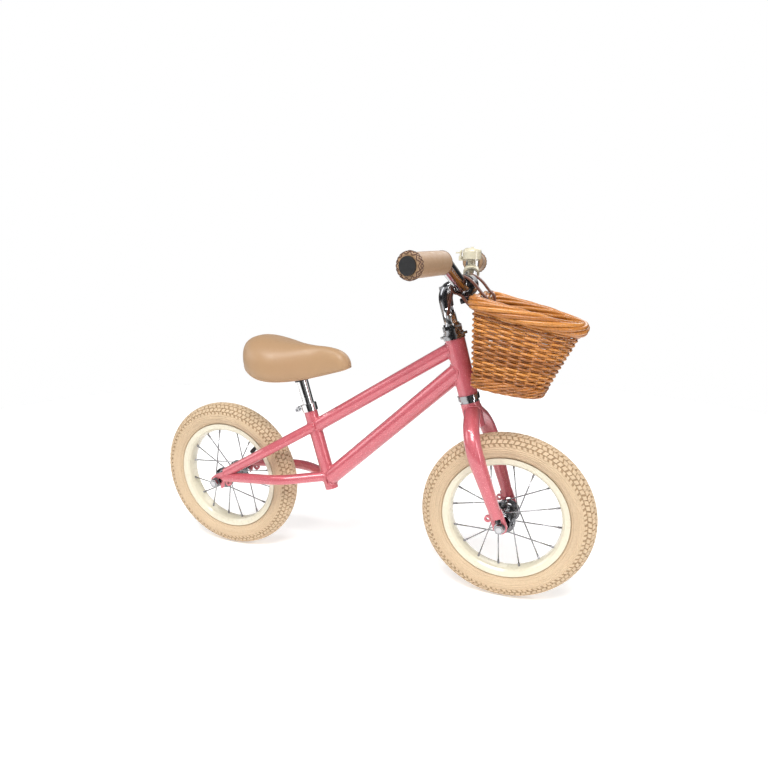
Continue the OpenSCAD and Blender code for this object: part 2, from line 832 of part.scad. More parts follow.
// The tube is bored along its straight runs; its bends are drawn solid
module handlebar() {
    inner = bar_d - 2 * bar_wall;
    dir = unit(bar_high_corner - bar_low_corner);
    last = unit(bar_end - bar_high_corner);
    low = bend_cut(bar_mid, bar_low_corner, bar_high_corner, bar_bend_r) + bend_lap;
    high = bend_cut(bar_low_corner, bar_high_corner, bar_end, bar_bend_r) + bend_lap;
    color("silver") difference() {
        bar_solid(bar_d, 0);
        translate(bar_mid) rotate([90, 0, 0])
            cylinder(h = 2 * (bar_low_corner.y - low), d = inner, center = true);
        both_sides() {
            rod(bar_low_corner + dir * low, bar_high_corner - dir * high, inner);
            rod(bar_high_corner + last * high, bar_end + last, inner);
        }
    }
}

// Places children with +Z along the left end of the bar, from the bar's end inwards
module at_bar_end() {
    translate(bar_end) aim(bar_high_corner - bar_end) children();
}

module grip() {
    at_bar_end() difference() {
        union() {
            translate([0, 0, 0.5]) cylinder(h = grip_len, d = grip_d, $fn = fine);
            translate([0, 0, 0.5]) cylinder(h = 9, d = grip_d + 3, $fn = fine);
        }
        translate([0, 0, -1]) cylinder(h = grip_len + 5, d = bar_d, $fn = fine);
    }
}

module grip_left() { color("tan") grip(); }
module grip_right() { color("tan") mirror([0, 1, 0]) grip(); }

module bar_end_caps() {
    color("#222222") both_sides() at_bar_end() {
        translate([0, 0, -2.6]) cylinder(h = 2.6, d = 25);
        translate([0, 0, -eps]) cylinder(h = 12, d = bar_d - 4);
    }
}

// ---- Bell ----

bell_floor = 19.6;

module bell_base() {
    color("beige") difference() {
        union() {
            translate(bell_at) aim(bar_high_corner - bar_low_corner)
                cylinder(h = 9, d = bar_d + 5, center = true);
            translate(bell_at + [0, 0, 8]) cylinder(h = bell_floor - 8, d = 13);
            translate(bell_at + [0, 0, bell_floor]) cylinder(h = 2, d = bell_d - 4);
            translate(bell_at + [0, 0, bell_floor]) cylinder(h = 22, d = 5);
            translate(bell_at + [-bell_d / 2 - 6, -5, bell_floor]) cube([14, 10, 2]);
            for (y = [-5, 3]) translate(bell_at + [-bell_d / 2 - 6, y, bell_floor + 2]) cube([4.4, 2, 5]);
        }
        rod(bar_low_corner, bar_high_corner, bar_d);
        translate(bell_at + [-bell_d / 2 - 4, 0, bell_floor + 4.6]) rotate([90, 0, 0])
            cylinder(h = 20, d = 2, center = true);
    }
}

// Half section of a cup with an upright skirt and a round shoulder
module dome_section(r, h) {
    shoulder = 7;
    square([r, h - shoulder]);
    square([r - shoulder, h]);
    translate([r - shoulder, h - shoulder]) circle(r = shoulder);
}

module bell_dome() {
    color("beige") translate(bell_at + [0, 0, bell_floor + 2.4]) difference() {
        rotate_extrude($fn = fine) dome_section(bell_d / 2, 18);
        translate([0, 0, -eps]) rotate_extrude($fn = fine) dome_section(bell_d / 2 - 1.5, 16.5);
        cylinder(h = 30, d = 5);
    }
}

// Sprung thumb hammer behind the dome
module bell_striker() {
    color("beige") translate(bell_at + [-bell_d / 2 - 4, 0, bell_floor + 4.6]) {
        rotate([90, 0, 0]) cylinder(h = 10, d = 1.86, center = true);
        difference() {
            union() {
                rotate([90, 0, 0]) cylinder(h = 5.4, d = 4, center = true);
                translate([-1.2, -2.7, 0]) cube([2.4, 5.4, 10]);
                translate([-8, -2.7, 7]) cube([7, 5.4, 2.2]);
            }
            rotate([90, 0, 0]) cylinder(h = 20, d = 1.86, center = true);
        }
        translate([-1, 0, 10]) rotate([0, 90, 0]) cylinder(h = 3.2, d = 5);
    }
}

// ---- Basket and its straps ----

module basket_frame() {
    translate(basket_back) rotate([0, basket_tilt, 0]) children();
}

// D outline: straight back at x = 0, round front
module d_outline(depth, half) {
    power = 2 / 2.5;
    side = [for (a = [-90 : 7.5 : 90])
            [depth * pow(cos(a), power), half * sign(a) * pow(abs(sin(a)), power)]];
    polygon(side);
}

module basket_hull(shrink, low) {
    hull() {
        translate([shrink, 0, low])
            linear_extrude(1) d_outline(basket_base_depth - 2 * shrink, basket_base_half - shrink);
        translate([rim_back_x + shrink, 0, basket_h]) rotate([0, rim_tilt, 0]) linear_extrude(1)
            d_outline(basket_rim_depth + 2 - 2 * shrink, basket_rim_half - shrink);
    }
}

module basket() {
    color("goldenrod") basket_frame() difference() {
        basket_hull(0, 0);
        basket_hull(basket_wall, 6);
        translate([rim_back_x, 0, basket_h - rope_d / 2]) rotate([0, rim_tilt, 0])
            translate([-60, -100, 0]) cube([300, 200, 60]);
        both_sides() translate([rim_back_x - 6, strap_y - strap_w / 2 - 0.5, basket_h - 21])
            cube([20, strap_w + 1, 9]);
    }
}

module basket_rim() {
    color("peru") basket_frame()
        translate([rim_back_x, 0, basket_h - rope_d / 2]) rotate([0, rim_tilt, 0]) linear_extrude(rope_d)
            difference() {
                translate([-rope_d / 2, 0]) d_outline(basket_rim_depth + rope_d, basket_rim_half + rope_d / 2);
                translate([rope_d / 2, 0]) d_outline(basket_rim_depth - rope_d, basket_rim_half - rope_d / 2);
            }
}

rope_back = basket_back + [rim_back_x * cos(basket_tilt) + basket_h * sin(basket_tilt), 0,
                           basket_h * cos(basket_tilt) - rim_back_x * sin(basket_tilt)];
bar_loop = [bar_mid.x - 1, bar_mid.z + 2];

// Loop in the XZ plane round the bar and the rope, grown outwards by a margin
module strap_loop(grow) {
    hull() {
        translate(bar_loop) circle(r = 15 + grow);
        translate([rope_back.x + 3, rope_back.z]) circle(r = 14.5 + grow);
    }
}

module strap(tail_turn, tail_at) {
    translate([0, strap_y + strap_w / 2, 0]) rotate([90, 0, 0]) linear_extrude(strap_w) {
        difference() {
            strap_loop(strap_t);
            strap_loop(0);
        }
        translate(tail_at) rotate(tail_turn) square([strap_t, 38]);
    }
}

module basket_straps() {
    color("saddlebrown") {
        mirror([0, 1, 0]) strap(170, [bar_loop.x - 12.6, bar_loop.y - 8.5]);
        strap(205, [bar_loop.x + 3, bar_loop.y - 19]);
    }
}

module strap_buckles() {
    color("silver") both_sides()
        translate([bar_loop.x - 15 - strap_t - 1, strap_y - strap_w / 2 - 2, bar_loop.y - 7]) difference() {
            cube([2, strap_w + 4, 13]);
            translate([-1, 2, 2]) cube([4, strap_w, 3.5]);
            translate([-1, 2, 7.5]) cube([4, strap_w, 3.5]);
        }
}

head_tube();
top_tube();
down_tube();
seat_tube();
seat_stay_left();
seat_stay_right();
chain_stay_left();
chain_stay_right();
rear_dropouts();
headset_cups();
headset_bearings();
seat_clamp();
seat_clamp_bolt();
rear_axle();
rear_cones();
rear_axle_nuts();
seat_post();
saddle_bracket();
saddle_base();
saddle_pad();
saddle_cover();
fork_steerer();
fork_crown();
fork_blade_left();
fork_blade_right();
fork_dropouts();
crown_race();
headset_race();
headset_washer();
headset_nut();
front_axle();
front_cones();
front_axle_nuts();
stem();
stem_bolt();
stem_wedge();
stem_clamp_bolt();
handlebar();
grip_left();
grip_right();
bar_end_caps();
bell_base();
bell_dome();
bell_striker();
basket();
basket_rim();
basket_straps();
strap_buckles();
front_tyre();
front_tube();
front_rim();
front_spokes();
front_hub();
front_bearings();
rear_tyre();
rear_tube();
rear_rim();
rear_spokes();
rear_hub();
rear_bearings();
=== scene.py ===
"""Looks of a child's balance bike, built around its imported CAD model. Metres, +X forwards, +Z up."""
import json
import math
import random

import bpy
import numpy as np
from mathutils import Matrix, Vector


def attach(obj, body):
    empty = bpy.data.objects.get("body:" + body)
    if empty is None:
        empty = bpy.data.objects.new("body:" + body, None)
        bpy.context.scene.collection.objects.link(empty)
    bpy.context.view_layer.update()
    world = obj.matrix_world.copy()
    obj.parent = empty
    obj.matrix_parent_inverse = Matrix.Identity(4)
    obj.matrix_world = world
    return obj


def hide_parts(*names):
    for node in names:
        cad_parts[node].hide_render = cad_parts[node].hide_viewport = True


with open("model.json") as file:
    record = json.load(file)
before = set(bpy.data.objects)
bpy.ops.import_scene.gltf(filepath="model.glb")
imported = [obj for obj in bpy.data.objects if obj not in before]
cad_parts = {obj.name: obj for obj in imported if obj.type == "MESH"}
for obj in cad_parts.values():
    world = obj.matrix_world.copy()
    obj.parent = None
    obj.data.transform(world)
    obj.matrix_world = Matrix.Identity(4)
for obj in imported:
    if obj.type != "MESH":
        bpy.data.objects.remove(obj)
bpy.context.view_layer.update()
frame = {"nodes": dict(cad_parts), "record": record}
nodes = frame["nodes"]
MM = 0.001
TAU = 2 * math.pi


def vec(*p):
    return np.array(p, float)


def unit(v):
    v = np.asarray(v, float)
    return v / np.linalg.norm(v)


# ---------------------------------------------------------------- materials

def color_ramp(tree, fac, stops):
    """Colour ramp node with stops as (position, colour)."""
    n = tree.nodes.new("ShaderNodeValToRGB")
    while len(n.color_ramp.elements) < len(stops):
        n.color_ramp.elements.new(0.5)
    for e, (pos, c) in zip(n.color_ramp.elements, stops):
        e.position = pos
        e.color = (*c, 1)
    tree.links.new(fac, n.inputs["Fac"])
    return n.outputs["Color"]


class Mat:
    """A Principled material with small helpers for its procedural detail."""

    def __init__(self, name, color, rough=0.5, **sockets):
        self.m = bpy.data.materials.new(name)
        self.m.use_nodes = True
        self.nt = self.m.node_tree
        self.bsdf = self.nt.nodes["Principled BSDF"]
        self.bsdf.inputs["Base Color"].default_value = (*color, 1)
        self.bsdf.inputs["Roughness"].default_value = rough
        for k, v in sockets.items():
            self.bsdf.inputs[k.replace("_", " ")].default_value = v
        self.coord = self.nt.nodes.new("ShaderNodeTexCoord").outputs["Object"]

    def link(self, a, b):
        self.nt.links.new(a, b)

    def noise(self, scale, detail=3, rough=0.5, stretch=None):
        n = self.nt.nodes.new("ShaderNodeTexNoise")
        n.inputs["Scale"].default_value = scale
        n.inputs["Detail"].default_value = detail
        n.inputs["Roughness"].default_value = rough
        self.link(self.mapped(stretch), n.inputs["Vector"])
        return n.outputs["Fac"]

    def cells(self, scale, output="Distance"):
        n = self.nt.nodes.new("ShaderNodeTexVoronoi")
        n.inputs["Scale"].default_value = scale
        self.link(self.coord, n.inputs["Vector"])
        return n.outputs[output]

    def mapped(self, stretch):
        if stretch is None:
            return self.coord
        n = self.nt.nodes.new("ShaderNodeMapping")
        n.inputs["Scale"].default_value = stretch
        self.link(self.coord, n.inputs["Vector"])
        return n.outputs["Vector"]

    def tone(self):
        """The mesh's own tone value, written by Build."""
        n = self.nt.nodes.new("ShaderNodeVertexColor")
        n.layer_name = "tone"
        return n.outputs["Color"]

    def ramp(self, fac, stops):
        return color_ramp(self.nt, fac, stops)

    def grey(self, fac, low, high, a=0.3, b=0.7):
        return self.ramp(fac, [(a, (low,) * 3), (b, (high,) * 3)])

    def mix(self, fac, a, b):
        n = self.nt.nodes.new("ShaderNodeMix")
        n.data_type = "RGBA"
        for key, v in (("Factor", fac), ("A", a), ("B", b)):
            socket = [s for s in n.inputs if s.name == key and s.enabled][0]
            if hasattr(v, "is_output"):
                self.link(v, socket)
            else:
                socket.default_value = v if key == "Factor" else (*v, 1)
        return [s for s in n.outputs if s.enabled][0]

    def color(self, out):
        self.link(out, self.bsdf.inputs["Base Color"])

    def rough(self, out):
        self.link(out, self.bsdf.inputs["Roughness"])

    def bump(self, out, distance, strength=1.0):
        n = self.nt.nodes.new("ShaderNodeBump")
        n.inputs["Distance"].default_value = distance
        n.inputs["Strength"].default_value = strength
        self.link(out, n.inputs["Height"])
        old = self.bsdf.inputs["Normal"]
        if old.is_linked:
            self.link(old.links[0].from_socket, n.inputs["Normal"])
        self.link(n.outputs["Normal"], old)


def paint_material():
    """Dusty pink gloss paint with fine glitter under a clear coat."""
    p = Mat("pink_glitter_paint", (0.60, 0.135, 0.165), 0.36,
            Metallic=0.2, Coat_Weight=1.0, Coat_Roughness=0.03)
    spark = p.grey(p.cells(1500, "Color"), 0, 1, 0.80, 0.97)
    tone = p.ramp(p.noise(30, 2), [(0.3, (0.52, 0.098, 0.125)), (0.7, (0.56, 0.112, 0.14))])
    p.color(p.mix(spark, tone, (0.90, 0.42, 0.45)))
    p.rough(p.grey(p.noise(900, 2), 0.30, 0.42))
    p.bump(p.noise(60, 2), 0.00003, 0.15)
    return p.m


def shade(color, by, plus=0.0):
    return tuple(by * c + plus for c in color)


def metal_material(name, color, rough, smear=0.06, grain=None, scratches=True):
    p = Mat(name, color, rough, Metallic=1.0)
    p.rough(p.grey(p.noise(70, 4, 0.6, grain), max(0.0, rough - smear), rough + smear))
    p.color(p.mix(p.noise(25, 3), shade(color, 0.86), color))
    if scratches:
        p.bump(p.noise(500, 3, 0.6, grain or (1, 1, 6)), 0.00002, 0.35)
    return p.m


def leather_material(name, color, dark, pore=700, rough=0.5, wrinkle=0.0003):
    p = Mat(name, color, rough, Coat_Weight=0.06, Coat_Roughness=0.35, Sheen_Weight=0.08)
    tone = p.mix(p.noise(18, 4, 0.6), dark, color)
    p.color(p.mix(p.grey(p.cells(pore), 0.0, 0.35, 0.0, 0.35), shade(dark, 0.72), tone))
    p.rough(p.grey(p.noise(200, 3), rough - 0.1, rough + 0.1))
    p.bump(p.cells(pore), 0.00012, 0.6)
    p.bump(p.noise(60, 5, 0.65), wrinkle, 0.5)
    return p.m


def plain_paint_material(name, color, rough):
    p = Mat(name, color, rough, Coat_Weight=0.7, Coat_Roughness=0.08)
    p.color(p.mix(p.noise(30, 4), shade(color, 0.93), color))
    p.rough(p.grey(p.noise(150, 3), rough - 0.06, rough + 0.06))
    p.bump(p.noise(260, 3), 0.00005, 0.3)
    return p.m


def rubber_material(name, color, dark, rough=0.7, mould=0.0002, painted_groove_shade=None):
    p = Mat(name, color, rough)
    tone = p.mix(p.noise(22, 5, 0.6), dark, color)
    # optional darker colour where the mesh's tone is low: painted shade in the grooves between tread blocks
    if painted_groove_shade:
        tone = p.mix(p.grey(p.tone(), 0, 1, 0.1, 0.55), painted_groove_shade, tone)
    p.color(p.mix(p.grey(p.noise(420, 3), 0.0, 0.4, 0.45, 0.75), tone, shade(dark, 0.7)))
    p.rough(p.grey(p.noise(90, 3), rough - 0.12, rough + 0.1))
    p.bump(p.noise(700, 3), 0.00008, 0.5)
    p.bump(p.noise(50, 3), mould, 0.3)
    return p.m


def willow_material(name, light, mid, dark):
    """Varnished willow: each rod its own tone, streaked along its length."""
    p = Mat(name, mid, 0.36, Coat_Weight=0.4, Coat_Roughness=0.1)
    base = p.ramp(p.tone(), [(0.0, dark), (0.5, mid), (1.0, light)])
    streak = p.grey(p.noise(420, 4, 0.7), 0.0, 0.65, 0.48, 0.72)
    p.color(p.mix(streak, base, shade(dark, 0.45)))
    p.rough(p.grey(p.noise(160, 3), 0.28, 0.5))
    p.bump(p.noise(520, 4, 0.7), 0.0002, 0.7)
    return p.m


def plastic_material(name, color, rough):
    p = Mat(name, color, rough)
    p.color(p.mix(p.noise(80, 3), color, shade(color, 1.5, 0.004)))
    p.rough(p.grey(p.noise(300, 3), rough - 0.08, rough + 0.08))
    p.bump(p.cells(1100), 0.00006, 0.5)
    return p.m


LOOKS = {
    "paint": paint_material(),
    "chrome": metal_material("chrome_polished", (0.80, 0.80, 0.81), 0.07, 0.03, scratches=False),
    # a darker copy of the chrome for the handlebar: painted dark reflections
    "bar_chrome_painted_dark": metal_material("chrome_handlebar_painted_dark", (0.50, 0.50, 0.51), 0.10, 0.04),
    "dark_chrome": metal_material("chrome_dark", (0.34, 0.34, 0.35), 0.13, 0.05),
    "steel": metal_material("steel_satin", (0.58, 0.58, 0.60), 0.28, 0.08),
    "black_steel": metal_material("steel_black", (0.055, 0.055, 0.06), 0.35, 0.1),
    "wire": metal_material("spoke_wire", (0.36, 0.36, 0.38), 0.26, 0.08),
    "nipple": metal_material("nipple_nickel", (0.26, 0.26, 0.27), 0.3, 0.08),
    "hub": metal_material("hub_black_chrome", (0.16, 0.16, 0.17), 0.16, 0.06),
    "cream": plain_paint_material("rim_cream_paint", (0.74, 0.69, 0.54), 0.30),
    "bell": plain_paint_material("bell_cream_paint", (0.66, 0.61, 0.46), 0.28),
    # the tyre's third colour is painted shade for the grooves between its tread blocks
    "tyre": rubber_material("tyre_tan_rubber", (0.66, 0.51, 0.345), (0.57, 0.42, 0.27),
                            painted_groove_shade=(0.34, 0.23, 0.13)),
    "tube": rubber_material("tube_black_rubber", (0.02, 0.02, 0.02), (0.01, 0.01, 0.01)),
    "saddle": leather_material("saddle_tan_leather", (0.545, 0.345, 0.185), (0.47, 0.285, 0.15), 900, 0.46),
    "grip": leather_material("grip_tan_leather", (0.47, 0.30, 0.175), (0.40, 0.245, 0.135),
                             1100, 0.5, 0.0001),
    "lace": leather_material("lace_brown_leather", (0.13, 0.045, 0.02), (0.09, 0.03, 0.014),
                             1500, 0.45, 0.0001),
    "strap": leather_material("strap_brown_leather", (0.19, 0.05, 0.022), (0.12, 0.032, 0.014),
                              1000, 0.42, 0.0001),
    "foam": rubber_material("saddle_foam", (0.7, 0.66, 0.5), (0.6, 0.55, 0.4), 0.9),
    "plastic": plastic_material("black_moulded_plastic", (0.012, 0.012, 0.013), 0.45),
    "willow": willow_material("willow_rods", (0.66, 0.27, 0.05), (0.43, 0.145, 0.02), (0.19, 0.055, 0.007)),
}


SLOT_LOOK = {"frame_paint": "paint", "chrome": "chrome", "dark_chrome": "dark_chrome", "bright_steel": "steel",
             "dark_steel": "black_steel", "rim_cream": "cream", "bell_cream": "bell", "tyre_tan": "tyre",
             "tube_rubber": "tube", "saddle_leather": "saddle", "grip_leather": "grip",
             "strap_leather": "strap", "foam": "foam", "black_plastic": "plastic", "wicker": "willow"}
# the handlebar takes the darker chrome copy, painted dark reflections
NODE_LOOK = {"handlebar": "bar_chrome_painted_dark", "stem_clamp_bolt": "black_steel",
             "front_axle_nuts": "dark_chrome", "rear_axle_nuts": "dark_chrome"}
for sub in frame["record"]["subparts"]:
    for holder in nodes[sub["node"]].material_slots:
        holder.material = LOOKS[NODE_LOOK.get(sub["node"]) or SLOT_LOOK[sub["material_slot"]]]


# ---------------------------------------------------------------- mesh building

class Build:
    """Collects points v, faces f and a tone t for each point into one mesh, in millimetres."""

    def __init__(self):
        self.v, self.f, self.t = [], [], []

    def grid(self, rings, closed_u=False, closed_v=True, tone=0.5, cap=False):
        """rings: list of equally long point lists; u runs along the rings' list, v round a ring."""
        base = len(self.v)
        n, m = len(rings), len(rings[0])
        for r in rings:
            self.v.extend(map(tuple, r))
        self.t.extend([tone] * (n * m))
        for i in range(n if closed_u else n - 1):
            a, b = base + i * m, base + ((i + 1) % n) * m
            for j in range(m if closed_v else m - 1):
                k = (j + 1) % m
                self.f.append((a + j, a + k, b + k, b + j))
        if cap:
            self.f.append(tuple(base + j for j in reversed(range(m))))
            self.f.append(tuple(base + (n - 1) * m + j for j in range(m)))

    def tube(self, pts, radius, sides=8, closed=False, tone=0.5, flat=1.0):
        """Round or oval tube along points; radius may be one number or one per point."""
        pts = np.asarray(pts, float)
        n = len(pts)
        rad = np.full(n, radius) if np.isscalar(radius) else np.asarray(radius, float)
        if closed:
            tan = np.roll(pts, -1, 0) - np.roll(pts, 1, 0)
        else:
            tan = np.gradient(pts, axis=0)
        tan /= np.linalg.norm(tan, axis=1)[:, None]
        # carry one side direction along without twist, then share out what a closed loop is left with
        ref = vec(0, 0, 1) if abs(tan[0][2]) < 0.9 else vec(1, 0, 0)
        us = [unit(np.cross(tan[0], ref))]
        for i in range(1, n):
            us.append(unit(us[-1] - tan[i] * np.dot(us[-1], tan[i])))
        us = np.array(us)
        if closed:
            end = unit(us[-1] - tan[0] * np.dot(us[-1], tan[0]))
            twist = math.atan2(np.dot(np.cross(end, us[0]), tan[0]), np.dot(end, us[0]))
            for i in range(n):
                a = twist * i / n
                us[i] = us[i] * math.cos(a) + np.cross(tan[i], us[i]) * math.sin(a)
        vs = np.cross(tan, us)
        ang = np.arange(sides) * TAU / sides
        rings = [pts[i] + rad[i] * (np.outer(np.cos(ang), us[i]) + flat * np.outer(np.sin(ang), vs[i]))
                 for i in range(n)]
        self.grid(rings, closed_u=closed, tone=tone, cap=not closed)

    def mesh(self, name, look, body, slot, subdiv=0):
        me = bpy.data.meshes.new(name)
        me.from_pydata([tuple(c * MM for c in p) for p in self.v], [], self.f)
        me.validate()
        me.update()
        layer = me.color_attributes.new("tone", "FLOAT_COLOR", "POINT")
        layer.data.foreach_set("color", np.repeat(np.array(self.t, np.float32), 4))
        me.polygons.foreach_set("use_smooth", [True] * len(me.polygons))
        o = bpy.data.objects.new(name, me)
        bpy.context.scene.collection.objects.link(o)
        me.materials.append(LOOKS[look])
        if subdiv:
            s = o.modifiers.new("smooth", "SUBSURF")
            s.levels = s.render_levels = subdiv
        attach(o, body)
        return o


def resample(pts, n, closed=False):
    pts = np.asarray(pts, float)
    if closed:
        pts = np.vstack([pts, pts[:1]])
    seg = np.linalg.norm(np.diff(pts, axis=0), axis=1)
    s = np.concatenate([[0], np.cumsum(seg)])
    at = np.linspace(0, s[-1], n + 1)[:-1] if closed else np.linspace(0, s[-1], n)
    return np.stack([np.interp(at, s, pts[:, i]) for i in range(3)], 1)


def spline(ctrl, n, closed=False):
    """Catmull-Rom curve through the control points."""
    c = np.asarray(ctrl, float)
    k = len(c)
    out = []
    spans = k if closed else k - 1
    for i in range(spans):
        if closed:
            p = [c[(i + j - 1) % k] for j in range(4)]
        else:
            p = [c[min(max(i + j - 1, 0), k - 1)] for j in range(4)]
        for t in np.linspace(0, 1, 17)[:-1]:
            out.append(0.5 * ((2 * p[1]) + (p[2] - p[0]) * t
                              + (2 * p[0] - 5 * p[1] + 4 * p[2] - p[3]) * t * t
                              + (3 * p[1] - p[0] - 3 * p[2] + p[3]) * t ** 3))
    if not closed:
        out.append(c[-1])
    return resample(out, n, closed)


def smooth_by_angle(o, degrees=35):
    """Smooth shading that keeps the CAD's hard edges."""
    me = o.data
    me.polygons.foreach_set("use_smooth", [True] * len(me.polygons))
    me.update()
    if hasattr(me, "set_sharp_from_angle"):
        me.set_sharp_from_angle(angle=math.radians(degrees))


# ---------------------------------------------------------------- the design's main sizes, in millimetres

TYRE_R = 150
AXLE_X = 282
FORK_RAKE = 15
HEAD_TILT, SEAT_TILT = math.radians(16), math.radians(15.5)
STEER_X = AXLE_X - FORK_RAKE / math.cos(HEAD_TILT)
SEAT_X = -51
HEAD_TUBE_R, TOP_TUBE_R, DOWN_TUBE_R, SEAT_TUBE_R, STAY_R, BLADE_R = 16.5, 12.5, 15.9, 12.7, 9.5, 13.5
POST_MARK_R = 10.15
STEM_R = 11.0
AXLES = {"front": vec(AXLE_X, 0, TYRE_R), "rear": vec(-AXLE_X, 0, TYRE_R)}
FIRST_SPOKE = {"front": 18.2, "rear": 12.0}


def on_steer(s):
    """Point of the steering axis, s along it from the axles' height."""
    return vec(STEER_X - s * math.sin(HEAD_TILT), 0, TYRE_R + s * math.cos(HEAD_TILT))


def on_seat(s):
    """Point of the seat tube's axis, s along it from the axles' height."""
    return vec(SEAT_X - s * math.sin(SEAT_TILT), 0, TYRE_R + s * math.cos(SEAT_TILT))


STEER_UP = unit(on_steer(1) - on_steer(0))
SEAT_UP = unit(on_seat(1) - on_seat(0))
STEER_AHEAD = vec(math.cos(HEAD_TILT), 0, math.sin(HEAD_TILT))
SEAT_AHEAD = vec(math.cos(SEAT_TILT), 0, math.sin(SEAT_TILT))
BAR_MID = on_steer(390.5) + 38 * STEER_AHEAD
BAR_HIGH = BAR_MID + vec(-12, 88, 36)
BAR_END = BAR_MID + vec(-30, 198, 33)
CROWN = on_steer(217.5)
BLADE_TILT = math.atan2(AXLE_X - CROWN[0], CROWN[2] - TYRE_R)


def in_blade(y, s):
    """Point of the fork's blade plane, s below the crown."""
    return CROWN + vec(s * math.sin(BLADE_TILT), y, -s * math.cos(BLADE_TILT))


# ---------------------------------------------------------------- wheels

TYRE_MID = 127          # radius of the circle through the middle of the tyre's section
TYRE_WALL = 21.9        # the section's own radius
SIDE_RIBS = (88, 96, 104, 122, 134)     # degrees round the section from the middle of the tread
BEAD_R, BEAD_HALF = 104.5, 13.0
WHEEL_STEPS = 220
TREAD_EDGE = 80
BLOCKS_AROUND = 92
BLOCK_FOOT = 21.5
# rows of blocks outwards: degrees round the section, half width, top radius, length in pitches
TREAD_ROWS = [(0, 7.0, 23.3, 0.84), (16.5, 8.3, 23.4, 0.82), (36.5, 8.6, 23.5, 0.80),
              (56.0, 8.2, 23.4, 0.76), (74.0, 7.0, 23.0, 0.62)]


def wheel_point(c, r, ang, y):
    return vec(c[0] + r * math.cos(ang), y, c[2] + r * math.sin(ang))


def tyre_section():
    """Closed outline from the right bead over the tread to the left one, as (radius, y)."""
    sect = []
    for i in range(143):
        a = math.radians(-142 + 2 * i)
        off_middle = abs(math.degrees(a))
        wall_r = TYRE_WALL
        if 84 < off_middle < 142:
            for rib in SIDE_RIBS:
                wall_r += 0.8 * math.exp(-((off_middle - rib) / 1.6) ** 2)
        sect.append((TYRE_MID + wall_r * math.cos(a), wall_r * math.sin(a)))
    outside = [p for p in sect if p[0] > BEAD_R + 4.6]
    return [(BEAD_R, -BEAD_HALF)] + outside + [(BEAD_R, BEAD_HALF), (106, 6), (106, -6)]


def add_tread_row(b, c, row):
    """Small staggered blocks round the tyre, tapered to the top; rows run from -4 to 4."""
    mid, half, top, length = TREAD_ROWS[abs(row)]
    mid = math.copysign(mid, row)
    stagger = 0.5 if row % 2 else 0.0
    skew = 0.22 * (1 if row > 0 else -1) * (1 if abs(row) % 2 else -1) if row else 0.0
    pitch = TAU / BLOCKS_AROUND
    for k in range(BLOCKS_AROUND):
        a0 = (k + stagger) * pitch
        wobble = 0.06 * math.sin(k * 2.399 + row)
        base = len(b.v)
        for r, shrink in ((BLOCK_FOOT, 1.0), (top - 0.25, 0.94), (top, 0.80)):
            for du, dv in ((-1, -1), (1, -1), (1, 1), (-1, 1)):
                along = a0 + pitch * (0.5 * length * shrink * du + skew * dv * 0.5 + wobble)
                across = math.radians(mid + half * shrink * dv)
                b.v.append(tuple(wheel_point(c, TYRE_MID + r * math.cos(across), along, r * math.sin(across))))
        # block feet get tone 0.25: painted shade carried a little up each block from the groove
        b.t.extend([0.25] * 4 + [1.0] * 8)
        for low in (base, base + 4):
            for j in range(4):
                k2 = (j + 1) % 4
                b.f.append((low + j, low + k2, low + 4 + k2, low + 4 + j))
        b.f.append(tuple(base + 8 + j for j in range(4)))


def make_tyre(which):
    """Moulded tyre with ribbed sides; the tone is 0 on the casing between the tread blocks, where the material
    paints shade into the grooves.
    """
    c = AXLES[which]
    sect = tyre_section()
    b = Build()
    rings = [[wheel_point(c, r, TAU * i / WHEEL_STEPS, y) for r, y in sect] for i in range(WHEEL_STEPS)]
    b.grid(rings, closed_u=True, closed_v=True, tone=1.0)
    # the casing under the tread gets tone 0, painted groove shade between the blocks
    crown = [j for j, (r, y) in enumerate(sect)
             if abs(math.degrees(math.atan2(y, r - TYRE_MID))) < TREAD_EDGE]
    for i in range(WHEEL_STEPS):
        for j in crown:
            b.t[i * len(sect) + j] = 0.0
    last = len(TREAD_ROWS) - 1
    for row in range(-last, last + 1):
        add_tread_row(b, c, row)
    o = b.mesh(which + "_tyre_treaded", "tyre", which + "_wheel", "tyre_tan")
    smooth_by_angle(o, 28)
    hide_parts(which + "_tyre")


SPOKES = 16
SPOKE_LEAN = 62
SPOKE_HOLE_R, FLANGE_Y = 18, 24
NIPPLE_R, NIPPLE_Y = 96, 2
WIRE_R = 1.12


def make_spokes(which):
    """Crossed spokes, hooked through the flanges from alternate sides, with their nipples."""
    c, body = AXLES[which], which + "_wheel"
    wire, nipples = Build(), Build()
    for k in range(SPOKES):
        side = -1 if k % 2 == 0 else 1
        lean = SPOKE_LEAN if (k // 2) % 2 == 0 else -SPOKE_LEAN
        rim_a = math.radians(FIRST_SPOKE[which] + k * 360 / SPOKES)
        hub_a = rim_a + math.radians(lean)
        off = 4.8 if lean > 0 else -2.8
        inward = -math.copysign(1, off) * side
        hub = wheel_point(c, SPOKE_HOLE_R, hub_a, side * (FLANGE_Y + off))
        end = wheel_point(c, NIPPLE_R, rim_a, side * NIPPLE_Y)
        d = unit(hub - end)
        elbow = hub + vec(0, inward * 1.2, 0)
        far = vec(hub[0], side * FLANGE_Y + inward * 2.6, hub[2])
        wire.tube([end + d * 8, end + d * 40, hub + (end - hub) * 0.02, elbow, far], WIRE_R, 10)
        wire.tube([far, far + vec(0, inward * 0.9, 0)], 1.7, 10)
        nipples.tube([end + d * x for x in (-3.0, 0.5, 1.0, 8.0, 9.6)], [2.4, 2.4, 1.95, 1.8, 1.2], 10)
    w = wire.mesh(which + "_spoke_wires", "wire", body, "bright_steel")
    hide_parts(which + "_spokes")
    nipples.mesh(which + "_spoke_nipples", "nipple", body, "dark_chrome")


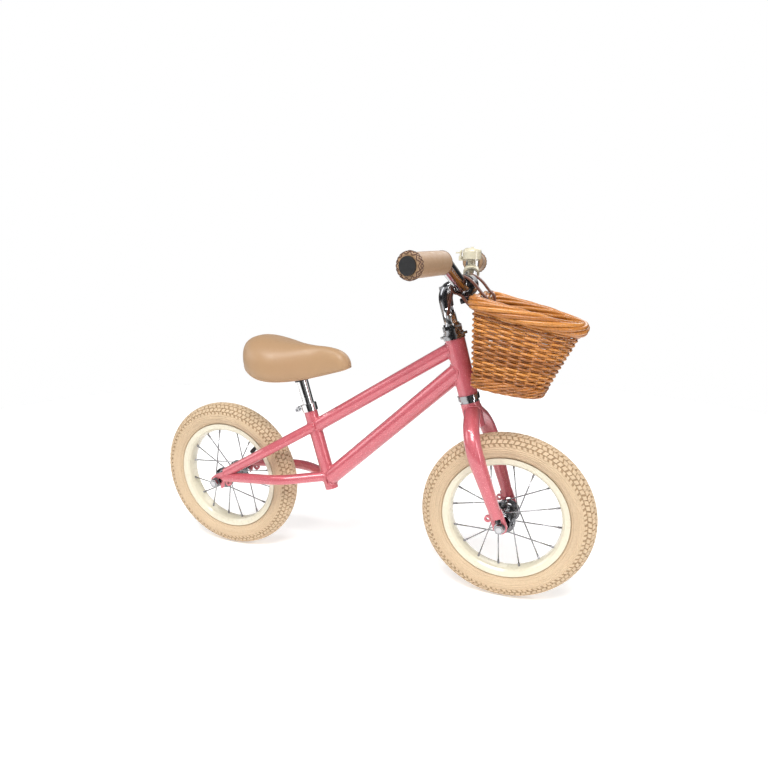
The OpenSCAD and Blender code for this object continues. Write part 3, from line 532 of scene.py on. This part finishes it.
def make_hub(which):
    """Two drilled flanges on a waisted barrel, with bearing housings."""
    c, body = AXLES[which], which + "_wheel"
    half = [(8, -34), (14.2, -34), (15, -33.2), (15, -27.5), (16.5, -26.2), (20.2, -25.7), (21, -25.2),
            (21, -22.9), (20.2, -22.4), (15.5, -21.6), (12.5, -18.5), (11.2, -12), (11, 0)]
    prof = half + [(r, -y) for r, y in reversed(half[:-1])]
    b = Build()
    n = 96
    b.grid([[wheel_point(c, r, TAU * i / n, y) for r, y in prof] for i in range(n)],
           closed_u=True, closed_v=False)
    o = b.mesh(which + "_hub_shell", "hub", body, "dark_chrome")
    smooth_by_angle(o, 40)
    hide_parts(which + "_hub")
    eyelets = Build()
    for side in (-1, 1):
        for k in range(6):
            m = wheel_point(c, 17.2, TAU * k / 6 + 0.3, side * 25.72)
            eyelets.grid([[m + vec(r * math.cos(t), h * side, r * math.sin(t))
                           for t in np.linspace(0, TAU, 15)[:-1]]
                          for r, h in ((2.6, 0.0), (2.5, 0.25), (2.2, 0.3), (1.9, 0.05), (0.05, 0.05))])
    eyelets.mesh(which + "_hub_eyelets", "black_steel", body, "dark_steel")


for which in AXLES:
    make_tyre(which)
    make_spokes(which)
    make_hub(which)


# ---------------------------------------------------------------- weld beads where tubes meet

WELD_STEPS = 120
# where each stay leaves the seat tube, and its direction, for the left side
STAY_STARTS = [((-84, 6, 273.9), (-86, 42.5, -49.9)), ((-60, 4, 177), (-78, 45, -4.5))]


def weld(b, start, direction, radius, axis_point, axis_dir, axis_r, bead=1.7, ripples=46):
    """Rippled bead where a tube that leaves start along direction meets a round tube."""
    d, w = unit(direction), unit(axis_dir)
    e1 = unit(np.cross(d, w))
    e2 = np.cross(d, e1)
    turn = [TAU * i / WELD_STEPS for i in range(WELD_STEPS)]
    pts = []
    for a in turn:
        p = np.asarray(start, float) + (radius + 0.2) * (math.cos(a) * e1 + math.sin(a) * e2)
        # the line p + s * d meets the round tube where s solves a quadratic
        q = p - axis_point
        qp, dp = q - w * np.dot(q, w), d - w * np.dot(d, w)
        k2, k1, k0 = np.dot(dp, dp), 2 * np.dot(qp, dp), np.dot(qp, qp) - axis_r ** 2
        root = math.sqrt(max(0.0, k1 * k1 - 4 * k2 * k0))
        pts.append(p + d * ((-k1 + root) / (2 * k2)))
    rad = [bead * (1 + 0.13 * math.sin(ripples * a)) for a in turn]
    b.tube(resample(pts, WELD_STEPS, True), rad, 8, closed=True)


def make_welds():
    """Beads round the frame's tubes and stays, and round the fork's blades at the crown."""
    head = (on_steer(0), STEER_UP, HEAD_TUBE_R)
    seat = (on_seat(0), SEAT_UP, SEAT_TUBE_R)
    beads = Build()
    for rear, front, radius in ((on_seat(126.5), on_steer(300), TOP_TUBE_R),
                                (on_seat(23), on_steer(262), DOWN_TUBE_R)):
        weld(beads, front, rear - front, radius, *head)
        weld(beads, rear, front - rear, radius, *seat)
    for side in (-1, 1):
        for start, direction in STAY_STARTS:
            weld(beads, vec(*start) * (1, side, 1), vec(*direction) * (1, side, 1), STAY_R, *seat,
                 bead=1.5, ripples=32)
    beads.mesh("frame_weld_beads", "paint", "frame", "frame_paint")
    beads = Build()
    for side in (-1, 1):
        start = in_blade(side * 2, 25.5)
        weld(beads, start, in_blade(side * 66, 66) - start, BLADE_R, *head, bead=1.5, ripples=38)
    beads.mesh("fork_weld_beads", "paint", "fork", "frame_paint")


make_welds()


# ---------------------------------------------------------------- basket

BASKET = Matrix.Translation(Vector((223, 0, 383))) @ Matrix.Rotation(math.radians(10), 4, "Y")
BASKET_H = 130
STAKES = 24
STAKE_STEPS = 8
AROUND = STAKES * STAKE_STEPS
RIM_TILT = math.radians(4.5)
UP = vec(0, 0, 1)


def d_outline(depth, half, n=160, corner=9):
    """Closed D: straight back, bowed front, with the back corners rounded."""
    power = 2 / 2.5
    pts = [vec(depth * math.cos(a) ** power if abs(a) < math.pi / 2 - 1e-6 else 0.0,
               half * math.copysign(abs(math.sin(a)) ** power, a), 0)
           for a in np.linspace(-math.pi / 2, math.pi / 2, 81)]
    pts += [vec(0, half * (1 - 2 * t), 0) for t in np.linspace(0, 1, 25)[1:-1]]
    loop = resample(pts, n, True)
    step = np.linalg.norm(loop[1] - loop[0])
    for _ in range(int((corner / step) ** 2)):
        loop = 0.5 * loop + 0.25 * (np.roll(loop, 1, 0) + np.roll(loop, -1, 0))
    return loop


def tilt_up(loop, back):
    """Lay an outline at the rim's height and tilt, its straight side at x = back."""
    return np.stack([back + loop[:, 0] * math.cos(RIM_TILT), loop[:, 1],
                     BASKET_H - loop[:, 0] * math.sin(RIM_TILT)], 1)


BASE_LOOP = d_outline(103, 56.5, AROUND)
TOP_LOOP = tilt_up(d_outline(161, 66.5, AROUND), -22)


def wall(h):
    """Middle of the woven wall at a height from 0 at the base to 1 at the rim."""
    return (BASE_LOOP + vec(1.5, 0, 3.0)) * (1 - h) + TOP_LOOP * h


def to_world(pts):
    m = np.array(BASKET)
    return np.asarray(pts) @ m[:3, :3].T + m[:3, 3]


def outward(loop):
    t = np.roll(loop, -1, 0) - np.roll(loop, 1, 0)
    n = np.stack([t[:, 1], -t[:, 0], np.zeros(len(t))], 1)
    return n / np.linalg.norm(n, axis=1)[:, None]


def add_weavers(b, rng, rows=25, low=0.13, span=0.80):
    """Rows of rods that pass in front of one stake and behind the next."""
    phase = np.arange(AROUND) * TAU * STAKES / AROUND / 2
    for i in range(rows):
        loop = wall(low + span * i / (rows - 1))
        sign = 1 if i % 2 else -1
        drift = [0.35 * math.sin(3 * TAU * j / AROUND + rng.uniform(0, 0.2)) for j in range(AROUND)]
        path = loop + outward(loop) * (sign * 2.0 * np.sin(phase))[:, None] + np.outer(drift, UP)
        # a weaver is a few rods laid end to end, so its tone changes along the row
        cuts = sorted(rng.sample(range(AROUND), 3))
        world = to_world(path)
        for a, z in zip(cuts, cuts[1:] + [cuts[0] + AROUND]):
            idx = [k % AROUND for k in range(a, z + 3)]
            r = 2.25 + rng.uniform(-0.2, 0.2)
            b.tube(world[idx], np.linspace(r, r * 0.86, len(idx)), 7, tone=rng.uniform(0.2, 0.95), flat=0.92)


def add_stakes(b, rng):
    for k in range(STAKES):
        line = to_world([wall(h)[k * STAKE_STEPS] for h in np.linspace(0.02, 1.0, 14)])
        b.tube(line, 1.7, 7, tone=rng.uniform(0.1, 0.6))


def add_foot(b, rng, plies=4):
    """Plaited foot: bands of strands that climb over each other."""
    for ply in range(plies):
        for h in (0.015, 0.06, 0.10):
            loop = wall(h)
            phase = np.arange(AROUND) * TAU * STAKES / AROUND / plies + ply * TAU / plies
            path = loop + outward(loop) * (2.6 * np.cos(phase) + 0.5)[:, None]
            path += np.outer(2.3 * np.sin(phase), UP)
            b.tube(to_world(path), 1.8, 7, closed=True, tone=rng.uniform(0.15, 0.85))


def add_base(b, rng, rod_gap=4.9, bar_gap=13.6, z=3.2, swing=1.5):
    """Woven floor: thin rods lengthwise, over and under the bars that cross them."""
    inside = BASE_LOOP * 0.985 + vec(1.5, 0, z)
    for k in range(-11, 12):
        y = k * rod_gap
        xs = [p[0] for p in inside if abs(p[1] - y) < 1.6]
        if len(xs) < 2:
            continue
        n = max(8, int((max(xs) - min(xs)) / 3))
        line = [vec(x, y, z + swing * math.sin(x / 15 * math.pi + k * math.pi))
                for x in np.linspace(min(xs), max(xs), n)]
        b.tube(to_world(line), 1.9, 7, tone=rng.uniform(0.2, 0.8))
    for k in range(1, 8):
        x = k * bar_gap
        ys = [p[1] for p in inside if abs(p[0] - x) < 1.8]
        if len(ys) < 2:
            continue
        line = [vec(x, y, z - swing * math.sin(y / rod_gap * math.pi + math.pi / 2 + k * math.pi))
                for y in np.linspace(min(ys), max(ys), 60)]
        b.tube(to_world(line), 2.0, 7, tone=rng.uniform(0.1, 0.6))


def make_basket():
    rng = random.Random(7)
    b = Build()
    add_weavers(b, rng)
    add_stakes(b, rng)
    add_foot(b, rng)
    add_base(b, rng)
    o = b.mesh("basket_weave", "willow", "cockpit", "wicker")
    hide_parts("basket")


def make_basket_rim(strands=7, turns=2):
    """Rope of strands twisted round a core, the core darkened as painted shade between the strands."""
    rng = random.Random(11)
    b = Build()
    centre = tilt_up(d_outline(163, 69, 480, 15), -24)
    n = len(centre)
    out = outward(centre)
    for s in range(strands):
        a = turns * TAU * np.arange(n) / n + s * TAU / strands
        wobble = 1 + 0.05 * np.sin(np.arange(n) * TAU * 9 / n + s * 1.7)
        path = centre + out * (6.3 * np.cos(a) * wobble)[:, None] + np.outer(7.6 * np.sin(a) * wobble, UP)
        b.tube(to_world(path), 3.7 + rng.uniform(-0.2, 0.2), 10, closed=True, tone=rng.uniform(0.2, 1.0))
    # darkest tone on the core: painted shade where it shows between the strands
    b.tube(to_world(centre), 5.0, 8, closed=True, tone=0.1)
    o = b.mesh("basket_rope_rim", "willow", "cockpit", "wicker")
    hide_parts("basket_rim")


make_basket()
make_basket_rim()


# ---------------------------------------------------------------- straps and buckles

STRAP_Y = 30.0
# each strap's loose tail: offsets from the strap's middle on the bar, right side then left side
STRAP_TAILS = {-1: ((-13, -8), (-15.5, -22), (-17.5, -36), (-18.5, -47)),
               1: ((4, -19), (9, -28), (15, -38), (20, -47))}
BUCKLE_WIDE, BUCKLE_HIGH = 7.6, 6.6


def add_strap(b, path, ups, width=10.5, thick=2.8):
    """Flat strap with rounded edges: path points and the strap's outward normal at each."""
    w, t = width / 2, thick / 2
    sect = [(-w, -t * 0.5), (-w * 0.93, -t), (w * 0.93, -t), (w, -t * 0.5),
            (w, t * 0.5), (w * 0.93, t), (-w * 0.93, t), (-w, t * 0.5)]
    rings = []
    for p, u, along in zip(path, ups, np.gradient(np.asarray(path), axis=0)):
        side = unit(np.cross(along, u))
        normal = unit(np.cross(side, along))
        rings.append([p + side * a + normal * c for a, c in sect])
    b.grid(rings, cap=True)


def add_buckle(b, at):
    """Rounded square frame with a cross bar and a prong."""
    down = unit(vec(-0.25, 0, -1))
    corner = [(1, -1), (1.06, -0.3), (1.06, 0.3)]
    outline = [(-1, -1), (-0.3, -1.06), (0.3, -1.06)] + corner
    outline += [(-y, -z) for y, z in outline]
    b.tube(spline([at + vec(-1.2, y * BUCKLE_WIDE, 0) + down * z * BUCKLE_HIGH for y, z in outline], 48, True),
           1.0, 8, closed=True)
    b.tube([at + vec(-2.6, -BUCKLE_WIDE, 0), at + vec(-2.6, BUCKLE_WIDE, 0)], 0.9, 8)
    b.tube([at + vec(-3.0, 0, 0), at + vec(-2.6, 0, 0) + down * 7.4], 0.8, 8)


def make_straps():
    """Two straps, each looped round the bar and the rope rim, with a buckle behind the bar."""
    leather, metal = Build(), Build()
    bar = vec(BAR_MID[0] - 1, 0, BAR_MID[2] + 2)
    rope = to_world([vec(-24, 0, BASKET_H)])[0] + vec(2, 0, 0)
    for side, tail in STRAP_TAILS.items():
        y = side * STRAP_Y
        on_bar, on_rope = bar + vec(0, y, 0), rope + vec(0, y, 0)
        loop = [on_bar + vec(-14.6, 0, -4), on_bar + vec(-12.5, 0, 8), on_bar + vec(-3, 0, 14.2),
                on_bar + vec(9, 0, 11.8), on_bar + vec(21, 0, 3), on_rope + vec(3, -0.01 * y, 12.4),
                on_rope + vec(11.5, -0.01 * y, 4), on_rope + vec(12.2, -0.01 * y, -6),
                on_rope + vec(5, 0, -13.8), on_rope + vec(-6, 0, -13.5), on_rope + vec(-17, 0, -5),
                on_bar + vec(1, 0, -15), on_bar + vec(-9, 0, -12.2)]
        path = spline(loop, 96, True)
        path = np.vstack([path, path[:1]])
        middle = path[:-1].mean(0)
        add_strap(leather, path, [unit((p - middle) * vec(1, 0, 1)) for p in path])
        tail_path = spline([on_bar + vec(dx, side * 0.3, dz) for dx, dz in tail], 20)
        add_strap(leather, tail_path, [vec(-1, 0, -0.15)] * len(tail_path), 10, 2.6)
        add_buckle(metal, on_bar + vec(-15.2, 0, -4))
    o = leather.mesh("basket_leather_straps", "strap", "cockpit", "strap_leather")
    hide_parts("basket_straps")
    o = metal.mesh("strap_buckle_frames", "chrome", "cockpit", "chrome")
    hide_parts("strap_buckles")


make_straps()


# ---------------------------------------------------------------- grips

# grip outline from the bar's end inwards, as (distance along, radius)
GRIP_OUTLINE = [(0.6, 12.6), (0.3, 14), (0.6, 16.6), (1.9, 18.3), (3.5, 18.75), (7.6, 18.75), (8.9, 18.3),
                (9.6, 17.35), (10.6, 17.0), (13, 17.1), (40, 17.25), (70, 17.25), (98, 17.1), (100.5, 16.9),
                (101.2, 16.3), (101.8, 16.9), (103.4, 16.9), (104.3, 16.2), (104.5, 14), (104.5, 11.6)]
LACE_POINTS = 11
STITCHES = 64


def make_grip(side):
    """Leather sleeve with a collar at each end: lacing on the outer one, stitches round the inner."""
    name = "left" if side > 0 else "right"
    end, high = BAR_END * vec(1, side, 1), BAR_HIGH * vec(1, side, 1)
    ax = unit(high - end)
    e1 = unit(np.cross(ax, UP))
    e2 = np.cross(ax, e1)

    def at(s, r, a):
        return end + ax * s + r * (math.cos(a) * e1 + math.sin(a) * e2)

    sleeve = Build()
    sleeve.grid([[at(s, r * (1 + 0.0015 * math.sin(5 * a)), a) for s, r in GRIP_OUTLINE]
                 for a in np.arange(96) * TAU / 96], closed_u=True, closed_v=False)
    o = sleeve.mesh("grip_leather_" + name, "grip", "cockpit", "grip_leather")
    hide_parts("grip_" + name)
    lace = Build()
    half_turn = TAU / (LACE_POINTS * 2)
    for turn in (0, 1):
        face, rim = [], []
        for k in range(LACE_POINTS * 2):
            a, mid = half_turn * (k + turn), half_turn * (k + turn + 0.5)
            outer = k % 2 == 0
            face += [at(0.45 if outer else 1.4, 15.2 if outer else 18.2, a), at(0.55, 16.9, mid)]
            rim += [at(1.3 if outer else 8.9, 18.35 if outer else 18.6, a), at(5.0, 19.25 - 0.35 * turn, mid)]
        if turn == 0:
            lace.tube(spline(face, LACE_POINTS * 24, True), 0.7, 6, closed=True)
        lace.tube(spline(rim, LACE_POINTS * 24, True), 0.6, 6, closed=True)
    for k in range(STITCHES):
        a0, a1 = TAU * k / STITCHES, TAU * (k + 0.55) / STITCHES
        lace.tube([at(102.6, 17.0, a0), at(102.6, 17.25, (a0 + a1) / 2), at(102.6, 17.0, a1)], 0.38, 5)
    lace.mesh("grip_lacing_" + name, "lace", "cockpit", "strap_leather")


for side in (-1, 1):
    make_grip(side)


# ---------------------------------------------------------------- saddle

# side view, rear to nose: the crown's line and the lower edge, as (x, z)
SIDE_TOP = [(-221, 410), (-219, 421), (-212, 431), (-203, 436.6), (-190, 440.4), (-172, 439.6), (-150, 435.2),
            (-118, 428.8), (-85, 425.6), (-53, 424.6), (-32, 420.6), (-20, 414), (-12.5, 404), (-9.6, 394)]
SIDE_LOW = [(-220.6, 401), (-214, 389), (-203, 379), (-188, 371.5), (-168, 366), (-140, 363), (-112, 363),
            (-86, 366.5), (-60, 373.5), (-34, 381), (-20, 385), (-13, 387.5), (-9.6, 390)]
SADDLE_STEPS = 64
SADDLE_MID_X, SADDLE_REACH = -115, 105.2
WIDEST_X, NOSE_X = -156, -28
CROWN_PART = 0.72       # share of a section that lies above its widest place


def curve_at(table, x):
    xs, zs = zip(*table)
    return float(np.interp(x, xs, zs))


def smoothed(zs, passes=3):
    for _ in range(passes):
        inner = [0.25 * a + 0.5 * b + 0.25 * c for a, b, c in zip(zs, zs[1:], zs[2:])]
        zs = [zs[0]] + inner + [zs[-1]]
    return zs


def saddle_half(x, wide=68.0, nose=17.0):
    """Half the width seen from above: a round rear, an eased waist and a round nose."""
    if x < WIDEST_X:
        return wide * math.sqrt(max(0, 1 - ((x - WIDEST_X) / 65) ** 2))
    ease = (1 - math.cos(math.pi * min(1, (x - WIDEST_X) / 96))) / 2
    h = wide + (nose - wide) * ease
    return h * math.sqrt(max(0, 1 - ((x - NOSE_X) / 19) ** 2)) if x > NOSE_X else h


def low_side(x, z_top, z_low, a):
    """The side below its widest place as (y, z), a from 0 there to a quarter turn at the edge."""
    half = max(saddle_half(x), 0.8)
    widest_z = z_low + 0.30 * (z_top - z_low)
    tuck = min(8.0, 0.2 * half)
    return half - tuck * (1 - math.cos(a)), widest_z - (widest_z - z_low) * math.sin(a)


def saddle_ring(x, z_top, z_low):
    """Section of the cover from the right hem over the crown to the left hem."""
    half, widest_z = low_side(x, z_top, z_low, 0)
    ring = []
    for t in np.linspace(-1, 1, 49):
        a = abs(t)
        if a < CROWN_PART:
            k = a / CROWN_PART * math.pi / 2
            y, z = half * math.sin(k) ** 0.82, widest_z + (z_top - widest_z) * math.cos(k) ** 0.86
        else:
            y, z = low_side(x, z_top, z_low, (a - CROWN_PART) / (1 - CROWN_PART) * math.pi / 2)
        ring.append(vec(x, math.copysign(y, t) if t else 0.0, z))
    # hem turned under
    y, z = ring[-1][1:]
    hem = [vec(x, y - 1.0, z - 0.6), vec(x, max(y - 3.2, y * 0.5), z - 0.2),
           vec(x, max(y - 5.0, y * 0.4), z + 2.5)]
    return [p * vec(1, -1, 1) for p in reversed(hem)] + ring + hem


def close_end(b, ring, flip):
    """Fan of triangles that closes the cover's rear or nose."""
    base = len(b.v)
    b.v.append(tuple(np.mean(ring, 0)))
    b.v.extend(map(tuple, ring))
    b.t.extend([0.5] * (len(ring) + 1))
    for j in range(len(ring) - 1):
        f = (base, base + 1 + j, base + 2 + j)
        b.f.append(f if flip else f[::-1])


def make_saddle():
    """Padded cover as one crowned shell with its hem turned under, and piping along its lower sides."""
    xs = [SADDLE_MID_X - SADDLE_REACH * math.cos(math.pi * i / SADDLE_STEPS) for i in range(SADDLE_STEPS + 1)]
    tops = smoothed([curve_at(SIDE_TOP, x) for x in xs])
    lows = smoothed([curve_at(SIDE_LOW, x) for x in xs])
    profile = list(zip(xs, tops, lows))
    rings = [saddle_ring(*p) for p in profile]
    b = Build()
    b.grid(rings, closed_u=False, closed_v=False)
    close_end(b, rings[0], False)
    close_end(b, rings[-1], True)
    o = b.mesh("saddle_leather_cover", "saddle", "saddle", "saddle_leather", subdiv=1)
    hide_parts("saddle_cover", "saddle_pad")
    piping = Build()
    for side in (-1, 1):
        path = []
        for x, z_top, z_low in profile[2:-2]:
            y, z = low_side(x, z_top, z_low, math.radians(52))
            path.append(vec(x, side * (y + 0.2), z))
        piping.tube(resample(path, 200), 0.7, 6)
    piping.mesh("saddle_seam_piping", "saddle", "saddle", "saddle_leather")


def make_post_marks(count=14, first=181, gap=3.3):
    """Graduations round the back of the seat post, seen above the clamp."""
    b = Build()
    for k in range(count):
        b.tube([on_seat(first + gap * k) + POST_MARK_R * (math.cos(t) * SEAT_AHEAD + vec(0, math.sin(t), 0))
                for t in np.radians(np.linspace(208, 252, 9))], 0.9, 6)
    b.mesh("seat_post_marks", "black_steel", "saddle", "chrome")


make_saddle()
make_post_marks()


# ---------------------------------------------------------------- stem

def make_stem():
    """Forged neck that bends from the quill to the bar, with its clamp and pinch ears."""
    b = Build()
    bend = [on_steer(s) for s in (300, 330, 352, 368)]
    bend += [on_steer(s) + STEER_AHEAD * out for s, out in ((382, 1.5), (392, 8), (393, 18))]
    bend.append(BAR_MID - STEER_AHEAD * 10)
    rad = np.interp(np.linspace(0, 1, 60), [0, 0.55, 0.72, 0.85, 1], [STEM_R, STEM_R, 11.6, 11.2, 11.5])
    b.tube(spline(bend, 60), rad, 40)
    # bar clamp with chamfered ends, as (y, radius)
    prof = [(-13.5, 11.2), (-13.5, 16.6), (-12.3, 17.8), (12.3, 17.8), (13.5, 16.6), (13.5, 11.2)]
    b.grid([[BAR_MID + vec(0, y, 0) + r * (math.cos(a) * STEER_AHEAD + math.sin(a) * STEER_UP) for y, r in prof]
            for a in np.arange(64) * TAU / 64], closed_u=True, closed_v=True)
    # pinch ears below the clamp, split by a slot
    for s in (-1, 1):
        ear = [(s * ahead, -down) for ahead, down in ((1.2, 13), (9.0, 13), (9.4, 20), (8.6, 26), (1.2, 27))]
        b.grid([[BAR_MID + STEER_AHEAD * u + STEER_UP * v + vec(0, y, 0) for u, v in ear] for y in (-8, 8)],
               cap=True)
    o = b.mesh("stem_forging", "dark_chrome", "cockpit", "chrome")
    smooth_by_angle(o, 40)
    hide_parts("stem")
    column = Build()
    column.tube([on_steer(s) for s in (262, 300, 340, 371)], STEM_R, 48)
    column.mesh("stem_column", "chrome", "cockpit", "chrome")


make_stem()


# ---------------------------------------------------------------- floor, light and camera, in metres

FLOOR_R = 1.9
MIDDLE = (0, 0, 0.3)
CAMERA_AT = Vector((0.4317, -0.9649, 0.5829))
CAMERA_TARGET = Vector((0.0454, 0, 0.2666))


def area_light(name, at, size, size_y, power, color=(1, 1, 1), target=MIDDLE):
    d = bpy.data.lights.new(name, "AREA")
    d.energy = power
    d.color = color
    d.shape = "RECTANGLE"
    d.size, d.size_y = size, size_y
    o = bpy.data.objects.new(name, d)
    bpy.context.scene.collection.objects.link(o)
    o.location = at
    o.rotation_euler = (Vector(target) - Vector(at)).to_track_quat("-Z", "Y").to_euler()


def make_floor():
    """Round white floor that glows a little, so that it meets the white surroundings."""
    me = bpy.data.meshes.new("floor")
    me.from_pydata([(FLOOR_R * math.cos(TAU * k / 96), FLOOR_R * math.sin(TAU * k / 96), 0) for k in range(96)],
                   [], [tuple(range(96))])
    floor = bpy.data.objects.new("floor", me)
    bpy.context.scene.collection.objects.link(floor)
    look = Mat("floor_white", (0.93, 0.93, 0.93), 0.6)
    look.color(look.mix(look.noise(3, 2), (0.92, 0.92, 0.92), (0.94, 0.94, 0.94)))
    look.bsdf.inputs["Emission Color"].default_value = (1, 1, 1, 1)
    look.bsdf.inputs["Emission Strength"].default_value = 0.34
    look.bsdf.inputs["Specular IOR Level"].default_value = 0.0
    floor.data.materials.append(look.m)


def make_world():
    """Studio in bands of height and upright panels for reflections; the camera itself sees white."""
    world = bpy.data.worlds.new("studio")
    bpy.context.scene.world = world
    world.use_nodes = True
    tree = world.node_tree
    link = tree.links.new
    coord = tree.nodes.new("ShaderNodeTexCoord")
    split = tree.nodes.new("ShaderNodeSeparateXYZ")
    link(coord.outputs["Generated"], split.inputs[0])

    def combine(op, a, b):
        n = tree.nodes.new("ShaderNodeMath")
        n.operation = op
        for socket, v in zip(n.inputs, (a, b)):
            if hasattr(v, "is_output"):
                link(v, socket)
            else:
                socket.default_value = v
        return n.outputs[0]

    def brightness(fac, stops):
        return color_ramp(tree, fac, [(pos, (v,) * 3) for pos, v in stops])

    raised = combine("ADD", combine("MULTIPLY", split.outputs["Z"], 0.5), 0.5)
    height = brightness(raised, [(0.0, 0.2), (0.45, 0.10), (0.54, 0.12), (0.60, 0.9),
                                 (0.70, 0.9), (0.76, 0.15), (0.90, 0.25), (1.0, 0.9)])
    around = combine("ARCTAN2", split.outputs["Y"], split.outputs["X"])
    panels = brightness(combine("SINE", combine("MULTIPLY", around, 5.0), 0.0),
                        [(0.0, 0.35), (0.35, 0.5), (0.6, 1.0), (1.0, 1.0)])
    studio = tree.nodes["Background"]
    link(combine("MULTIPLY", height, panels), studio.inputs["Color"])
    studio.inputs["Strength"].default_value = 1.0
    white = tree.nodes.new("ShaderNodeBackground")
    white.inputs["Color"].default_value = (1, 1, 1, 1)
    rays = tree.nodes.new("ShaderNodeLightPath")
    pick = tree.nodes.new("ShaderNodeMixShader")
    link(rays.outputs["Is Camera Ray"], pick.inputs["Fac"])
    link(studio.outputs["Background"], pick.inputs[1])
    link(white.outputs["Background"], pick.inputs[2])
    link(pick.outputs["Shader"], tree.nodes["World Output"].inputs["Surface"])


def make_camera():
    data = bpy.data.cameras.new("camera")
    cam = bpy.data.objects.new("camera", data)
    bpy.context.scene.collection.objects.link(cam)
    data.sensor_width = 36
    data.lens = 28.017
    data.shift_x = 0.0067
    data.shift_y = 0.0685
    cam.location = CAMERA_AT
    cam.rotation_euler = (CAMERA_TARGET - CAMERA_AT).to_track_quat("-Z", "Y").to_euler()
    bpy.context.scene.camera = cam
    bpy.context.scene.view_settings.view_transform = "Standard"


make_floor()
make_world()
area_light("key", (0.5, -1.5, 2.3), 1.5, 0.8, 46, (1, 0.99, 0.97))
area_light("fill", (-2.4, -0.9, 1.3), 1.3, 1.3, 16, (0.97, 0.98, 1))
area_light("back", (0.4, 2.1, 2.0), 1.6, 1.6, 20)
area_light("strip", (2.2, -0.7, 1.1), 0.3, 1.6, 12, target=(0.1, 0, 0.35))
area_light("top", (0, -0.9, 2.2), 2.4, 0.10, 20)
make_camera()
